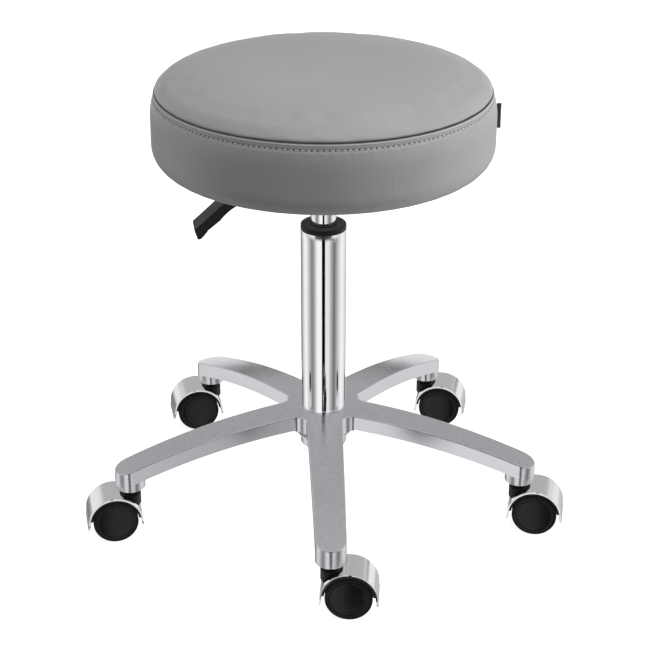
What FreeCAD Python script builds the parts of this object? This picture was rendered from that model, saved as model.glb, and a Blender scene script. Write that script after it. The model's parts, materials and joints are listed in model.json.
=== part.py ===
"""Height-adjustable round stool on a five-arm caster base, in millimetres.

+Z is up. The origin is on the floor, on the axis of the gas-lift column.
The seat is at its lowest height. One arm of the base points along -Y.
"""
import FreeCAD, Part
import math
import os
import re
import Sketcher

Vector = FreeCAD.Vector
Rotation = FreeCAD.Rotation
Placement = FreeCAD.Placement

doc = FreeCAD.newDocument("dentist_stool")
sheet = doc.addObject("Spreadsheet::Sheet", "Sizes")
nodes = []

DRIVING_SIZES = [
    # casters
    ("wheel_radius", 25.0), ("wheel_outer", 19.5), ("rim_inner", 8.0), ("rim_bore", 20.5),
    ("caster_trail", 19.5), ("axle_radius", 3.0), ("hood_radius", 30.4), ("hood_wall", 2.4),
    ("hood_half", 20.6), ("hood_tip", 17.0), ("hood_flare", 1.0), ("opening_back", -8.0),
    ("opening_front", 13.0), ("opening_half", 18.0), ("opening_round", 9.0),
    ("web_half", 5.2), ("web_radius", 17.0), ("body_foot", 28.5), ("crown_low", 38.5), ("crown_top", 51.0),
    ("boss_radius", 7.4), ("crown_radius", 11.0), ("boss_high", 59.2),
    ("journal_radius", 4.0), ("journal_low", 33.0), ("nave_radius", 6.5), ("wheel_face", 16.5),
    ("cap_seat", 22.8), ("cap_radius", 22.7), ("cap_crown", 20.7),
    # five-arm base
    ("stem_circle", 228.0), ("stem_radius", 5.2), ("socket_radius", 5.7), ("socket_high", 77.0),
    ("tip_radius", 16.5), ("tip_low", 59.5), ("arm_root_half", 20.3), ("arm_high", 122.0),
    ("arm_bow", 740.0), ("arm_depth", 17.3), ("vee_round", 12.0), ("arm_wall", 4.0),
    ("hub_radius", 27.5), ("hub_low", 75.0), ("edge_round", 1.4), ("stem_high", 75.0),
    ("grip_low", 66.0), ("grip_high", 72.0), ("grip_depth", 0.6),
    # gas lift
    ("tube_radius", 25.0), ("tube_bore", 23.5), ("tube_high", 336.7), ("tube_low", 77.0),
    ("tube_ring_radius", 24.5), ("tube_foot_radius", 23.4), ("taper_high", 190.0),
    ("collar_high", 342.3), ("sleeve_low", 256.0), ("slip", 0.05),
    ("lift_radius", 14.0), ("lift_bore", 12.2), ("lift_low", 125.0), ("lift_high", 395.0),
    ("cone_low", 366.0), ("cone_radius", 13.6), ("rod_radius", 5.0), ("piston_low", 275.0),
    ("rod_low", 74.3), ("rod_end", 4.0), ("rod_neck", 3.4), ("piston_neck", 3.5), ("piston_thick", 6.0),
    ("stop_radius", 11.0), ("bearing_top", 86.0),
    ("button_radius", 4.0), ("button_high", 401.2),
    # seat
    ("plate_low", 413.0), ("plate_thick", 3.0), ("plate_side", 150.0), ("plate_screw_pitch", 110.0),
    ("screw_radius", 4.0), ("screw_head_radius", 8.0), ("nut_radius", 5.2), ("nut_flange_radius", 9.0),
    ("nut_flange", 1.5),
    ("cover_low", 416.6), ("cover_thick", 1.0), ("seat_radius", 181.6), ("seat_round", 22.0),
    ("band_straight_high", 468.0), ("seam_radius", 176.3), ("seam_high", 494.0),
    ("crown_high", 520.0), ("crown_flat", 60.0), ("shoulder_radius", 160.0), ("shoulder_drop", 10.5),
    ("board_radius", 166.0), ("board_thick", 12.0), ("board_bevel", 7.0), ("dust_cloth", 0.6),
    ("tag_low", 453.5), ("tag_high", 480.5), ("tag_reach", 4.8), ("tag_thick", 1.8),
    ("staple_half", 5.0), ("staple_wire", 0.7), ("staple_leg", 7.0), ("staple_crown", 0.4),
    # lever
    ("lever_azimuth", 188.0), ("pivot_reach", 26.0), ("pivot_high", 403.5), ("bar_thick", 4.0),
    ("bar_half", 7.0), ("paddle_half", 14.5), ("paddle_wall", 2.8), ("pin_radius", 2.5),
    ("barrel_radius", 5.0), ("ear_gap", 7.4), ("ear_thick", 3.0), ("ear_half", 6.0),
]
CASTER_HEADINGS = [-3.7, -10.2, -9.5, 191.7, 191.4]   # stem to axle, degrees from +X
FRONT_ARM_AZIMUTH = -88.1
ARM_STEP = 72.0
ALIASES = {name for name, _ in DRIVING_SIZES}


def fill_sheet():
    for row, (name, value) in enumerate(DRIVING_SIZES, start=1):
        sheet.set("A%d" % row, name)
        sheet.set("B%d" % row, str(value))
        sheet.setAlias("B%d" % row, name)
    doc.recompute()


def formula(text):
    """A formula in sheet names, as FreeCAD reads it."""
    def named(match):
        word = match.group()
        return "Sizes." + word if word in ALIASES else word

    return re.sub(r"[a-z_]+", named, str(text))


def size(text):
    return float(sheet.evalExpression(formula(text)))


def keep(node):
    """Put a finished sub-part on the list of files to write."""
    node.Label = node.Name
    nodes.append(node)
    return node


# ---- sketches and bodies -------------------------------------------------------------

def new_body(name):
    return doc.addObject("PartDesign::Body", name)


def arc_between(start, end, radius):
    """Arc from start to end: centre on the left of the way for a positive radius, else on the right."""
    chord = end - start
    middle = (start + end) * 0.5
    rise = math.sqrt(max(radius * radius - (chord.Length / 2) ** 2, 0.0))
    left = Vector(-chord.y, chord.x, 0).normalize()
    centre = middle + left * (rise if radius > 0 else -rise)
    angles = [math.atan2(p.y - centre.y, p.x - centre.x) for p in (start, end)]
    if radius < 0:
        angles.reverse()
    return Part.ArcOfCircle(Part.Circle(centre, Vector(0, 0, 1), abs(radius)), angles[0], angles[1])


def outline(body, plane, name, corners):
    """Closed sketch through corners (x, y[, radius of the arc to the next]), each bound to the sheet."""
    sketch = body.newObject("Sketcher::SketchObject", name)
    support = [feature for feature in body.Origin.OriginFeatures if feature.Role == plane][0]
    sketch.AttachmentSupport = [(support, "")]
    sketch.MapMode = "FlatFace"
    spots = [Vector(size(corner[0]), size(corner[1]), 0) for corner in corners]
    ends = []
    for index, corner in enumerate(corners):
        start, end = spots[index], spots[(index + 1) % len(spots)]
        if len(corner) == 3:
            radius = size(corner[2])
            sketch.addGeometry(arc_between(start, end, radius), False)
            ends.append((1, 2) if radius > 0 else (2, 1))
        else:
            sketch.addGeometry(Part.LineSegment(start, end), False)
            ends.append((1, 2))
    for index, corner in enumerate(corners):
        after = (index + 1) % len(corners)
        sketch.addConstraint(Sketcher.Constraint("Coincident", index, ends[index][1], after, ends[after][0]))
        for kind, axis, text, value in (("DistanceX", -2, corner[0], spots[index].x),
                                        ("DistanceY", -1, corner[1], spots[index].y)):
            if abs(value) < 1e-9:
                sketch.addConstraint(Sketcher.Constraint("PointOnObject", index, ends[index][0], axis))
                continue
            number = sketch.addConstraint(Sketcher.Constraint(kind, -1, 1, index, ends[index][0], value))
            sketch.setExpression("Constraints[%d]" % number, formula(text))
        if len(corner) == 3:
            number = sketch.addConstraint(Sketcher.Constraint("Radius", index, abs(size(corner[2]))))
            sketch.setExpression("Constraints[%d]" % number, formula("abs(%s)" % corner[2]))
    return sketch


def turned(name, corners):
    """A piece turned about Z from a profile of (radius, height) corners."""
    body = new_body(name)
    turning = body.newObject("PartDesign::Revolution", name + "_turning")
    profile = outline(body, "XZ_Plane", name + "_profile", corners)
    turning.Profile = profile
    turning.ReferenceAxis = (profile, ["V_Axis"])
    turning.Angle = 360
    body.Tip = turning
    return body


def sawn(name, plane, corners, thickness, side="Symmetric"):
    """A piece cut to an outline on one of its own planes."""
    body = new_body(name)
    pad = body.newObject("PartDesign::Pad", name + "_pad")
    pad.Profile = outline(body, plane, name + "_outline", corners)
    pad.SideType = side
    pad.setExpression("Length", formula(thickness))
    body.Tip = pad
    return body


def rod(name, radius, length, place):
    """A plain bar: place is the Placement of its lower end, +Z along it."""
    bar = doc.addObject("Part::Cylinder", name)
    bar.Placement = place
    bar.setExpression("Radius", formula(radius))
    bar.setExpression("Height", formula(length))
    return bar


def block(name, low, high):
    """A box between two corners given as formulas."""
    box = doc.addObject("Part::Box", name)
    for side, axis, start, end in zip(("Length", "Width", "Height"), "xyz", low, high):
        box.setExpression(side, formula("(%s) - (%s)" % (end, start)))
        box.setExpression("Placement.Base." + axis, formula(start))
    return box


def fused(name, pieces):
    join = doc.addObject("Part::MultiFuse", name)
    join.Shapes = pieces
    join.Refine = True
    return join


def cut(name, base, tool):
    result = doc.addObject("Part::Cut", name)
    result.Base = base
    result.Tool = tool
    return result


def common(name, first, second):
    result = doc.addObject("Part::Common", name)
    result.Base = first
    result.Tool = second
    return result


def rounded(name, base, radius, chosen):
    """Round the edges of a recomputed piece that the test chosen picks."""
    doc.recompute()
    fillet = doc.addObject("Part::Fillet", name)
    fillet.Base = base
    picked = [number for number, edge in enumerate(base.Shape.Edges, start=1) if chosen(edge)]
    fillet.Edges = [(number, size(radius), size(radius)) for number in picked]
    return fillet


def group(name, shapes):
    """Several loose solids that share one node."""
    feature = doc.addObject("Part::Feature", name)
    feature.Shape = Part.makeCompound(shapes)
    return keep(feature)


def placed(shape, place):
    copy = shape.copy()
    copy.Placement = place.multiply(copy.Placement)
    return copy


def about_z(angle, offset=Vector(0, 0, 0)):
    return Placement(offset, Rotation(Vector(0, 0, 1), angle))


def middle_of(edge):
    return edge.valueAt((edge.FirstParameter + edge.LastParameter) / 2)


def polar(radius, angle, height=0.0):
    return Vector(radius * math.cos(math.radians(angle)), radius * math.sin(math.radians(angle)), height)


# ---- five-arm base -------------------------------------------------------------------

ARM_AZIMUTHS = [FRONT_ARM_AZIMUTH + ARM_STEP * arm for arm in range(5)]


def arm_top(radius):
    """Height of the bowed top of an arm, as a formula of the distance from the axis."""
    return "arm_high - arm_bow + sqrt(arm_bow ^ 2 - (%s) ^ 2)" % radius


def arm_blanks(name, side_gap, reach):
    """Five tapered arm outlines, sawn up through the full height of the base."""
    blanks = []
    for arm, azimuth in enumerate(ARM_AZIMUTHS):
        root, tip = "(arm_root_half - (%s))" % side_gap, "(tip_radius - (%s))" % side_gap
        corners = [("0", root + " * -1"), (reach, tip + " * -1"), (reach, tip), ("0", root)]
        blank = sawn("%s_%d" % (name, arm + 1), "XY_Plane", corners, "arm_high * 2")
        blank.Placement = about_z(azimuth)
        blanks.append(blank)
    return blanks


def star_turning(name, top_gap, bottom_gap):
    """The space between the bowed top and bottom of the arms, turned about the column."""
    far = "(stem_circle + 2 * tip_radius)"
    return turned(name, [
        ("0", "arm_high - (%s)" % top_gap, "-1 * (arm_bow - (%s))" % top_gap),
        (far, "sqrt((arm_bow - (%s)) ^ 2 - %s ^ 2) + arm_high - arm_bow" % (top_gap, far)),
        (far, "tip_low - (%s)" % bottom_gap),
        ("0", "tip_low - (%s)" % bottom_gap),
    ])


def under_side():
    """What the moulding leaves open below the arms: all but the hub and a round boss at each stem."""
    inner, start = "hub_radius + 6", "hub_radius + 27"
    far = "(stem_circle + 2 * tip_radius)"
    space = turned("arm_under_space", [
        (inner + " - 5", "tip_low - 5"),
        (far, "tip_low - 5"),
        (far, arm_top(far) + " - arm_depth", "arm_bow - arm_depth"),
        (start, arm_top(start) + " - arm_depth", "18"),
        (inner, "arm_high - 30"),
        (inner + " - 5", "arm_high - 35"),
    ])
    bosses = [rod("tip_boss_%d" % (arm + 1), "tip_radius + 0.02", "arm_high",
                  about_z(0, polar(size("stem_circle"), azimuth)))
              for arm, azimuth in enumerate(ARM_AZIMUTHS)]
    return cut("arm_under_side", space, fused("tip_bosses", bosses))


def star_base():
    """Cast aluminium star: bowed arms, a boss at each tip, ribs in the hollow underside."""
    tips = [rod("tip_blank_%d" % (arm + 1), "tip_radius", "arm_high",
                about_z(0, polar(size("stem_circle"), azimuth)))
            for arm, azimuth in enumerate(ARM_AZIMUTHS)]
    plan = fused("star_plan", arm_blanks("arm_blank", "0", "stem_circle") + tips)
    vee = size("arm_root_half") / math.sin(math.radians(ARM_STEP / 2))

    def in_vee(edge):
        point = middle_of(edge)
        upright = abs(edge.tangentAt(edge.FirstParameter).z) > 0.99
        return upright and abs(math.hypot(point.x, point.y) - vee) < 4

    plan = rounded("star_plan_rounded", plan, "vee_round", in_vee)
    star = common("star_bowed", plan, star_turning("star_turning", "0", "0"))
    star = cut("star_lifted", star, under_side())
    boss = turned("hub_boss", [
        ("0", "hub_low"), ("hub_radius - 1.5", "hub_low"), ("hub_radius - 1.5", "hub_low + 10"),
        ("hub_radius + 1", "hub_low + 10"), ("hub_radius + 1", "arm_high - 8"), ("0", "arm_high - 8")])
    clear_middle = turned("hub_space", [
        ("0", "tip_low - 6"), ("hub_radius + 1.01", "tip_low - 6"),
        ("hub_radius + 1.01", "hub_low + 10"), ("0", "hub_low + 10")])
    star = fused("star_with_hub", [cut("star_open_hub", star, clear_middle), boss])

    def on_top_edge(edge):
        points = [edge.valueAt(edge.FirstParameter), middle_of(edge), edge.valueAt(edge.LastParameter)]
        bow = size("arm_bow")
        for point in points:
            radius = math.hypot(point.x, point.y)
            if abs(point.z - (size("arm_high") - bow + math.sqrt(bow * bow - radius * radius))) > 0.05:
                return False
        return math.hypot(points[1].x, points[1].y) > 30

    star = rounded("star_soft_edges", star, "edge_round", on_top_edge)
    cells = star_turning("cell_turning", "arm_wall + 1", "6")
    pocket_plan = fused("pocket_plan", arm_blanks("pocket_blank", "arm_wall", "stem_circle - tip_radius + 4"))
    pockets = common("arm_pockets", pocket_plan, cells)
    ribs = []
    edges = [("0", "hub_radius + 10"), ("90", "93"), ("135", "138"), ("180", "183"),
             ("stem_circle - tip_radius - 2", "stem_circle + 40")]
    for number, (start, end) in enumerate(edges, start=1):
        ribs.append(turned("rib_ring_%d" % number, [(start, "tip_low - 10"), (end, "tip_low - 10"),
                                                    (end, "arm_high + 5"), (start, "arm_high + 5")]))
    star = cut("star_hollow", star, cut("arm_cells", pockets, fused("rib_rings", ribs)))
    sockets = [rod("stem_socket_%d" % (arm + 1), "socket_radius", "socket_high - tip_low + 1",
                   about_z(0, polar(size("stem_circle"), azimuth, size("tip_low") - 1)))
               for arm, azimuth in enumerate(ARM_AZIMUTHS)]
    seat = turned("hub_taper", [("0", "hub_low - 1"), (taper_radius("hub_low - 1"), "hub_low - 1"),
                                ("tube_ring_radius", "arm_high"), ("tube_ring_radius", "arm_high + 6"),
                                ("0", "arm_high + 6")])
    return keep(cut("star_base", star, fused("star_holes", sockets + [seat])))


def taper_radius(height):
    """Outer radius of the tapered foot of the column at a height."""
    return ("tube_foot_radius + (tube_ring_radius - tube_foot_radius) * (%s - tube_low)"
            " / (arm_high - tube_low)" % height)


def caster_stems():
    shoulder, groove = "boss_high + 0.3", "stem_radius - grip_depth"
    stem = turned("stem_pattern", [
        ("0", "journal_low"), ("journal_radius", "journal_low"), ("journal_radius", shoulder),
        ("stem_radius", shoulder), ("stem_radius", "grip_low"), (groove, "grip_low"),
        (groove, "grip_high"), ("stem_radius", "grip_high"), ("stem_radius", "stem_high"),
        ("0", "stem_high")])
    ring = turned("ring_pattern", [
        (groove, "grip_low + 0.1"), ("socket_radius", "grip_low + 0.1"),
        ("socket_radius", "grip_high - 0.1"), (groove, "grip_high - 0.1")])
    doc.recompute()
    spots = [about_z(0, polar(size("stem_circle"), azimuth)) for azimuth in ARM_AZIMUTHS]
    group("caster_stems", [placed(stem.Shape, spot) for spot in spots])
    group("stem_grip_rings", [placed(ring.Shape, spot) for spot in spots])


# ---- gas lift ------------------------------------------------------------------------

def column():
    keep(turned("column_tube", [
        ("tube_bore", "tube_high"), ("tube_bore", "taper_high"), ("tube_ring_radius - 1.5", "arm_high"),
        ("tube_foot_radius - 1.5", "tube_low"), ("tube_foot_radius", "tube_low"),
        ("tube_ring_radius", "arm_high"), ("tube_radius", "taper_high"), ("tube_radius", "tube_high")]))
    keep(turned("tube_end_plate", [
        ("journal_radius + slip", "tube_low"), ("tube_foot_radius - 1.5", "tube_low"),
        ("tube_foot_radius - 1.5", "tube_low + 3"), ("journal_radius + slip", "tube_low + 3")]))
    keep(turned("guide_sleeve", [
        ("lift_radius + slip", "sleeve_low"), ("tube_bore", "sleeve_low"),
        ("tube_bore", "tube_high"), ("lift_radius + slip", "tube_high")]))
    keep(turned("column_collar", [
        ("lift_radius + slip", "tube_high"), ("tube_radius", "tube_high"),
        ("tube_radius", "collar_high - 1.2", "1.2"), ("tube_radius - 1.2", "collar_high"),
        ("lift_radius + 2", "collar_high"), ("lift_radius + slip", "collar_high - 2")]))
    rivet = turned("rivet_pattern", [
        ("0", "-4"), ("1.5", "-4"), ("1.5", "0"), ("2.6", "0", "2.9"), ("0.5", "0.9"), ("0", "0.9")])
    doc.recompute()
    azimuth = -62.4
    facing = Placement(polar(size("tube_radius") - 0.1, azimuth, 331),
                       Rotation(Vector(0, 0, 1), polar(1, azimuth)))
    group("collar_rivet", [placed(rivet.Shape, facing)])


def piston_rod():
    above_plate, piston_top = "tube_low + 3.1", "piston_low + piston_thick"
    groove_low, groove_high = "rod_low + 0.8", "rod_low + 2.4"
    keep(turned("piston_rod", [
        ("0", "rod_low"), ("rod_end", "rod_low"), ("rod_end", groove_low), ("rod_neck", groove_low),
        ("rod_neck", groove_high), ("rod_end", groove_high), ("rod_end", above_plate),
        ("rod_radius", above_plate), ("rod_radius", "piston_low"), ("piston_neck", "piston_low"),
        ("piston_neck", piston_top), ("0", piston_top)]))
    rings = [("rod_clip", "rod_neck", "7", groove_low + " + 0.1", groove_high + " - 0.1"),
             ("thrust_bearing", "rod_radius", "stop_radius", above_plate, "bearing_top"),
             ("bump_stop", "rod_radius", "stop_radius", "bearing_top", "lift_low - 0.3"),
             ("piston", "piston_neck", "lift_bore - 2 * slip", "piston_low", piston_top)]
    for name, inner, outer, low, high in rings:
        keep(turned(name, [(inner, low), (outer, low), (outer, high), (inner, high)]))


def lift_cylinder():
    keep(turned("lift_cylinder", [
        ("lift_bore", "lift_low"), ("lift_radius", "lift_low"), ("lift_radius", "cone_low"),
        ("cone_radius", "lift_high"), ("lift_bore", "lift_high")]))
    keep(turned("cylinder_gland", [
        ("rod_radius + slip", "lift_low + 0.2"), ("lift_bore", "lift_low + 0.2"),
        ("lift_bore", "lift_low + 14"), ("rod_radius + slip", "lift_low + 14")]))
    keep(turned("valve_body", [
        ("0", "lift_high - 23"), ("lift_bore", "lift_high - 23"), ("lift_bore", "lift_high - 0.5"),
        ("button_radius + slip", "lift_high - 0.5"), ("button_radius + slip", "lift_high - 19"),
        ("0", "lift_high - 19")]))
    keep(turned("release_button", [
        ("0", "lift_high - 14"), ("button_radius", "lift_high - 14"), ("button_radius", "button_high - 0.6"),
        ("button_radius - 0.6", "button_high"), ("0", "button_high")]))


# ---- seat ----------------------------------------------------------------------------

def seat_hardware():
    half = "plate_side / 2"
    swing = about_z(size("lever_azimuth") - 180)
    plate = sawn("plate_blank", "XY_Plane", [("-1 * " + half, "-1 * " + half), (half, "-1 * " + half),
                                             (half, half), ("-1 * " + half, half)], "plate_thick", "One side")
    plate.Placement = Placement(Vector(0, 0, size("plate_low")), Rotation())
    corner = size(half)
    plate = rounded("plate_round", plate, "12", lambda edge: abs(edge.tangentAt(0).z) > 0.9
                    and abs(middle_of(edge).x) > corner - 1)
    pitch = size("plate_screw_pitch") / 2
    corners = [Vector(x, y, 0) for x in (-pitch, pitch) for y in (-pitch, pitch)]
    holes = [rod("plate_hole_%d" % number, "screw_radius + 0.2", "30",
                 Placement(spot + Vector(0, 0, 400), Rotation()))
             for number, spot in enumerate(corners, start=1)]
    plate = keep(cut("seat_plate", plate, fused("plate_holes", holes)))
    plate.Placement = swing
    nut_low, nut_high = "cover_low + cover_thick + 2", "cover_low + cover_thick + board_thick"
    flange_low, screw_high = nut_high + " - nut_flange", nut_high + " - 0.5"
    nut = turned("tee_nut_pattern", [
        ("screw_radius", nut_low), ("nut_radius", nut_low), ("nut_radius", flange_low),
        ("nut_flange_radius", flange_low), ("nut_flange_radius", nut_high), ("screw_radius", nut_high)])
    screw = turned("screw_pattern", [
        ("0", "plate_low - 2"), ("2.5", "plate_low - 2"), ("2.5", "plate_low - 4.4"),
        ("screw_head_radius - 1.5", "plate_low - 4.4", "4.5"), ("screw_head_radius", "plate_low"),
        ("screw_radius", "plate_low"), ("screw_radius", screw_high), ("0", screw_high)])
    doc.recompute()
    spots = [swing.multiply(Placement(spot, Rotation())) for spot in corners]
    group("tee_nuts", [placed(nut.Shape, spot) for spot in spots])
    group("plate_screws", [placed(screw.Shape, spot) for spot in spots])
    return spots


def cone_socket():
    """Tapered socket welded under the plate, slotted where the lever enters."""
    tube = turned("socket_blank", [
        ("lift_radius", "cone_low"), ("lift_radius + 3", "cone_low"), ("lift_radius + 5", "cone_low + 2"),
        ("lift_radius + 5", "plate_low"), ("cone_radius", "plate_low"), ("cone_radius", "lift_high")])
    slot = block("socket_slot", ("0", "-8", "396.3"), ("30", "8", "plate_low + 1"))
    socket = keep(cut("cone_socket", tube, slot))
    socket.Placement = about_z(size("lever_azimuth"))


def pad_profile(inset):
    """Closed profile of the seat pad, drawn in by an inset: flat foot, rounded foot, side, seam, crown."""
    low = "cover_low + " + inset
    side = "seat_radius - " + inset
    bend = "seat_round - " + inset
    return [
        ("0", low), ("seat_radius - seat_round", low, bend), (side, "cover_low + seat_round"),
        (side, "band_straight_high", "70"),
        ("seam_radius - " + inset, "seam_high", "24"),
        ("shoulder_radius - " + inset, "crown_high - shoulder_drop - " + inset, "480"),
        ("crown_flat", "crown_high - " + inset), ("0", "crown_high - " + inset)]


def board_block(name, grow):
    """The plywood board's own outline, grown a little where it has to clear the foam."""
    low = "cover_low + cover_thick"
    edge = "board_radius + %s" % grow
    return turned(name, [
        ("0", low), (edge + " - board_bevel", low), (edge, low + " + board_bevel"),
        (edge, low + " + board_thick + %s" % grow), ("0", low + " + board_thick + %s" % grow)])


def seat_board(spots):
    blank = board_block("board_blank", "0")
    base = size("cover_low + cover_thick")
    deep = size("board_thick")
    holes = []
    for number, spot in enumerate(spots, start=1):
        for name, radius, low, length in (
                ("barrel", "nut_radius", base - 1, "board_thick"),
                ("flange", "nut_flange_radius", base + deep - size("nut_flange"), "4")):
            place = Placement(spot.Base + Vector(0, 0, low), Rotation())
            holes.append(rod("nut_%s_%d" % (name, number), radius, length, place))
    keep(cut("seat_board", blank, fused("nut_holes", holes)))


def upholstery(spots):
    outer = turned("pad_outer", pad_profile("0"))
    inner = turned("pad_inner", pad_profile("cover_thick"))
    skin = cut("cover_skin", outer, inner)
    far = "seat_radius + 10"
    above = turned("above_seam", [
        ("0", "seam_high"), (far, "seam_high"), (far, "crown_high + 5"), ("0", "crown_high + 5")])
    hem = "board_radius - 16"
    below = turned("below_seam", [
        (hem, "cover_low - 5"), (far, "cover_low - 5"), (far, "seam_high - 0.1"), (hem, "seam_high - 0.1")])
    keep(common("cover_top", skin, above))
    keep(common("cover_band", skin, below))
    filling = turned("foam_block", pad_profile("1.2"))
    lower = turned("foam_foot_space", [
        ("0", "cover_low"), (far, "cover_low"), (far, "cover_low + 9.5"), ("0", "cover_low + 9.5")])
    keep(cut("seat_foam", filling, fused("foam_spaces", [lower, board_block("board_space", "0.2")])))
    cloth = turned("dust_cloth_blank", [
        ("0", "cover_low - dust_cloth"), ("board_radius - 9", "cover_low - dust_cloth"),
        ("board_radius - 9", "cover_low"), ("0", "cover_low")])
    holes = [rod("cloth_hole_%d" % number, "screw_radius + 0.4", "20",
                 Placement(spot.Base + Vector(0, 0, size("cover_low") - 10), Rotation()))
             for number, spot in enumerate(spots, start=1)]
    keep(cut("bottom_cover", cloth, fused("cloth_holes", holes)))
    tag = sawn("side_tag", "XZ_Plane", [
        ("seat_radius + 0.1", "tag_low"), ("seat_radius + tag_reach", "tag_low"),
        ("seat_radius + tag_reach", "tag_high"), ("seat_radius + 0.1", "tag_high")], "tag_thick")
    keep(tag).Placement = about_z(-3)


def staples():
    """Flat-crowned staples that hold the dust cover and the turned-in band to the board."""
    crown_top = "cover_low - dust_cloth"
    near, far = "staple_wire / -2", "staple_wire / 2"
    legs = [("-1 * staple_half", "staple_wire - staple_half"), ("staple_half - staple_wire", "staple_half")]
    parts = [block("staple_crown_bar", ("-1 * staple_half", near, crown_top + " - staple_crown"),
                   ("staple_half", far, crown_top))]
    for number, (low, high) in enumerate(legs, start=1):
        parts.append(block("staple_leg_%d" % number, (low, near, crown_top),
                           (high, far, "cover_low + staple_leg")))
    staple = fused("staple_pattern", parts)
    doc.recompute()
    count = 20
    row = Placement(Vector(size("board_radius") - 12, 0, 0), Rotation(Vector(0, 0, 1), 90))
    spots = [about_z(360.0 * number / count + 3).multiply(row) for number in range(count)]
    group("staples", [placed(staple.Shape, spot) for spot in spots])


# ---- lever ---------------------------------------------------------------------------

SLOPE = 0.894          # fall of the paddle's top per unit of reach


def paddle_line(reach, below=0.0):
    """Height of the paddle's sloping top, or of a line parallel to it below it."""
    return 377.0 - SLOPE * (reach - 107.0) - below * math.sqrt(1 + SLOPE * SLOPE)


def reach_at(height, below):
    return 107.0 + (377.0 - below * math.sqrt(1 + SLOPE * SLOPE) - height) / SLOPE


def on_lever(name, base, tool):
    piece = keep(cut(name, base, tool))
    piece.Placement = about_z(size("lever_azimuth"))
    return piece


def lever():
    wall = size("paddle_wall")
    high, low = size("pivot_high + bar_thick / 2"), size("pivot_high - bar_thick / 2")
    thick = size("bar_thick")
    bar = sawn("bar_blank", "XZ_Plane", [
        ("-6", low), (reach_at(low, wall + thick), low), (118, paddle_line(118, wall + thick)),
        (120.5, paddle_line(120.5, wall)), (reach_at(high, wall), high), ("-6", high)], "2 * bar_half")
    across = Rotation(Vector(1, 0, 0), 90)
    pin_at = Vector(size("pivot_reach"), size("bar_half"), size("pivot_high"))
    barrel = rod("pivot_barrel", "barrel_radius", "2 * bar_half", Placement(pin_at, across))
    bore = rod("pivot_bore", "pin_radius + slip", "2 * bar_half + 2",
               Placement(pin_at + Vector(0, 1, 0), across))
    on_lever("lever_arm", fused("bar_with_barrel", [bar, barrel]), bore)

    end = 140.5
    shell = sawn("paddle_blank", "XZ_Plane", [
        (88, paddle_line(88)), (84, paddle_line(84, 11.5)), (92.4, 373.6, -60), (112.5, 357.0),
        (125.7, 346.4, 45), (133.3, 337.3, 4.5), (137.2, 336.8), (end, paddle_line(end))], "2 * paddle_half")
    inside = sawn("paddle_hollow", "XZ_Plane", [
        (70, paddle_line(70, wall)), (end - 5, paddle_line(end - 5, wall)), (129, 330), (60, 330)],
        "2 * (paddle_half - paddle_wall + 0.2)")

    def long_edge(edge):
        point = middle_of(edge)
        flat = abs(edge.tangentAt(edge.FirstParameter).y) < 0.1
        on_top = abs(point.z - paddle_line(point.x)) < 0.3
        return flat and on_top and abs(point.y) > 10

    shell = rounded("paddle_soft", shell, "1.2", long_edge)
    on_lever("lever_paddle", shell, inside)

    ear_low, ear_high = "pivot_high - ear_half", "plate_low"
    start, stop = "pivot_reach - ear_half", "pivot_reach + ear_half"
    outside = "(ear_gap + ear_thick)"
    sides = (("-1 * " + outside, "-1 * ear_gap"), ("ear_gap", outside))
    ears = [block("ear_%d" % number, (start, near, ear_low), (stop, far, ear_high))
            for number, (near, far) in enumerate(sides, start=1)]
    bridge = block("ear_bridge", (start, "-1 * " + outside, "plate_low - 1.6"), (stop, outside, ear_high))
    pin_hole = rod("ear_hole", "pin_radius", "30", Placement(pin_at + Vector(0, 8, 0), across))
    on_lever("lever_bracket", fused("bracket_blank", ears + [bridge]), pin_hole)
    pin = keep(rod("lever_pivot_pin", "pin_radius", "24", Placement(pin_at + Vector(0, 5, 0), across)))
    pin.Placement = about_z(size("lever_azimuth")).multiply(pin.Placement)


# ---- casters -------------------------------------------------------------------------

ALONG_Y = Rotation(Vector(1, 0, 0), -90)


def across_axle(name, radius, low, high):
    """A drum about the axle, between two distances along +Y."""
    place = Placement(Vector(size("caster_trail"), size(low), size("wheel_radius")), ALONG_Y)
    return rod(name, radius, "(%s) - (%s)" % (high, low), place)


def hood_pattern():
    """Chromed arch over both wheels, with pointed tips and a cut-out round the stem boss."""
    outer, inner = "hood_radius", "hood_radius - hood_wall"
    left, right = "caster_trail - ", "caster_trail + "
    arch = sawn("hood_arch", "XZ_Plane", [
        (right + outer, "wheel_radius", outer), ("caster_trail", "wheel_radius + " + outer, outer),
        (left + outer, "wheel_radius"), (left + outer + " - hood_flare", "hood_tip"),
        (left + outer + " + 0.4", "hood_tip"),
        (left + "(" + inner + ")", "wheel_radius", "-1 * (" + inner + ")"),
        ("caster_trail", "wheel_radius + " + inner, "-1 * (" + inner + ")"),
        (right + inner, "wheel_radius"), (right + outer + " - 0.4", "hood_tip"),
        (right + outer + " + hood_flare", "hood_tip")], "2 * hood_half")
    back, front, bend = "opening_back", "opening_front", "opening_round"
    near, far = "-1 * opening_half", "opening_half"
    opening = sawn("hood_opening", "XY_Plane", [
        (back + " + " + bend, near), (front + " - " + bend, near, bend), (front, near + " + " + bend),
        (front, far + " - " + bend, bend), (front + " - " + bend, far), (back + " + " + bend, far, bend),
        (back, far + " - " + bend), (back, near + " + " + bend, bend)], "200")
    return cut("hood_pattern", arch, opening)


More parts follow.
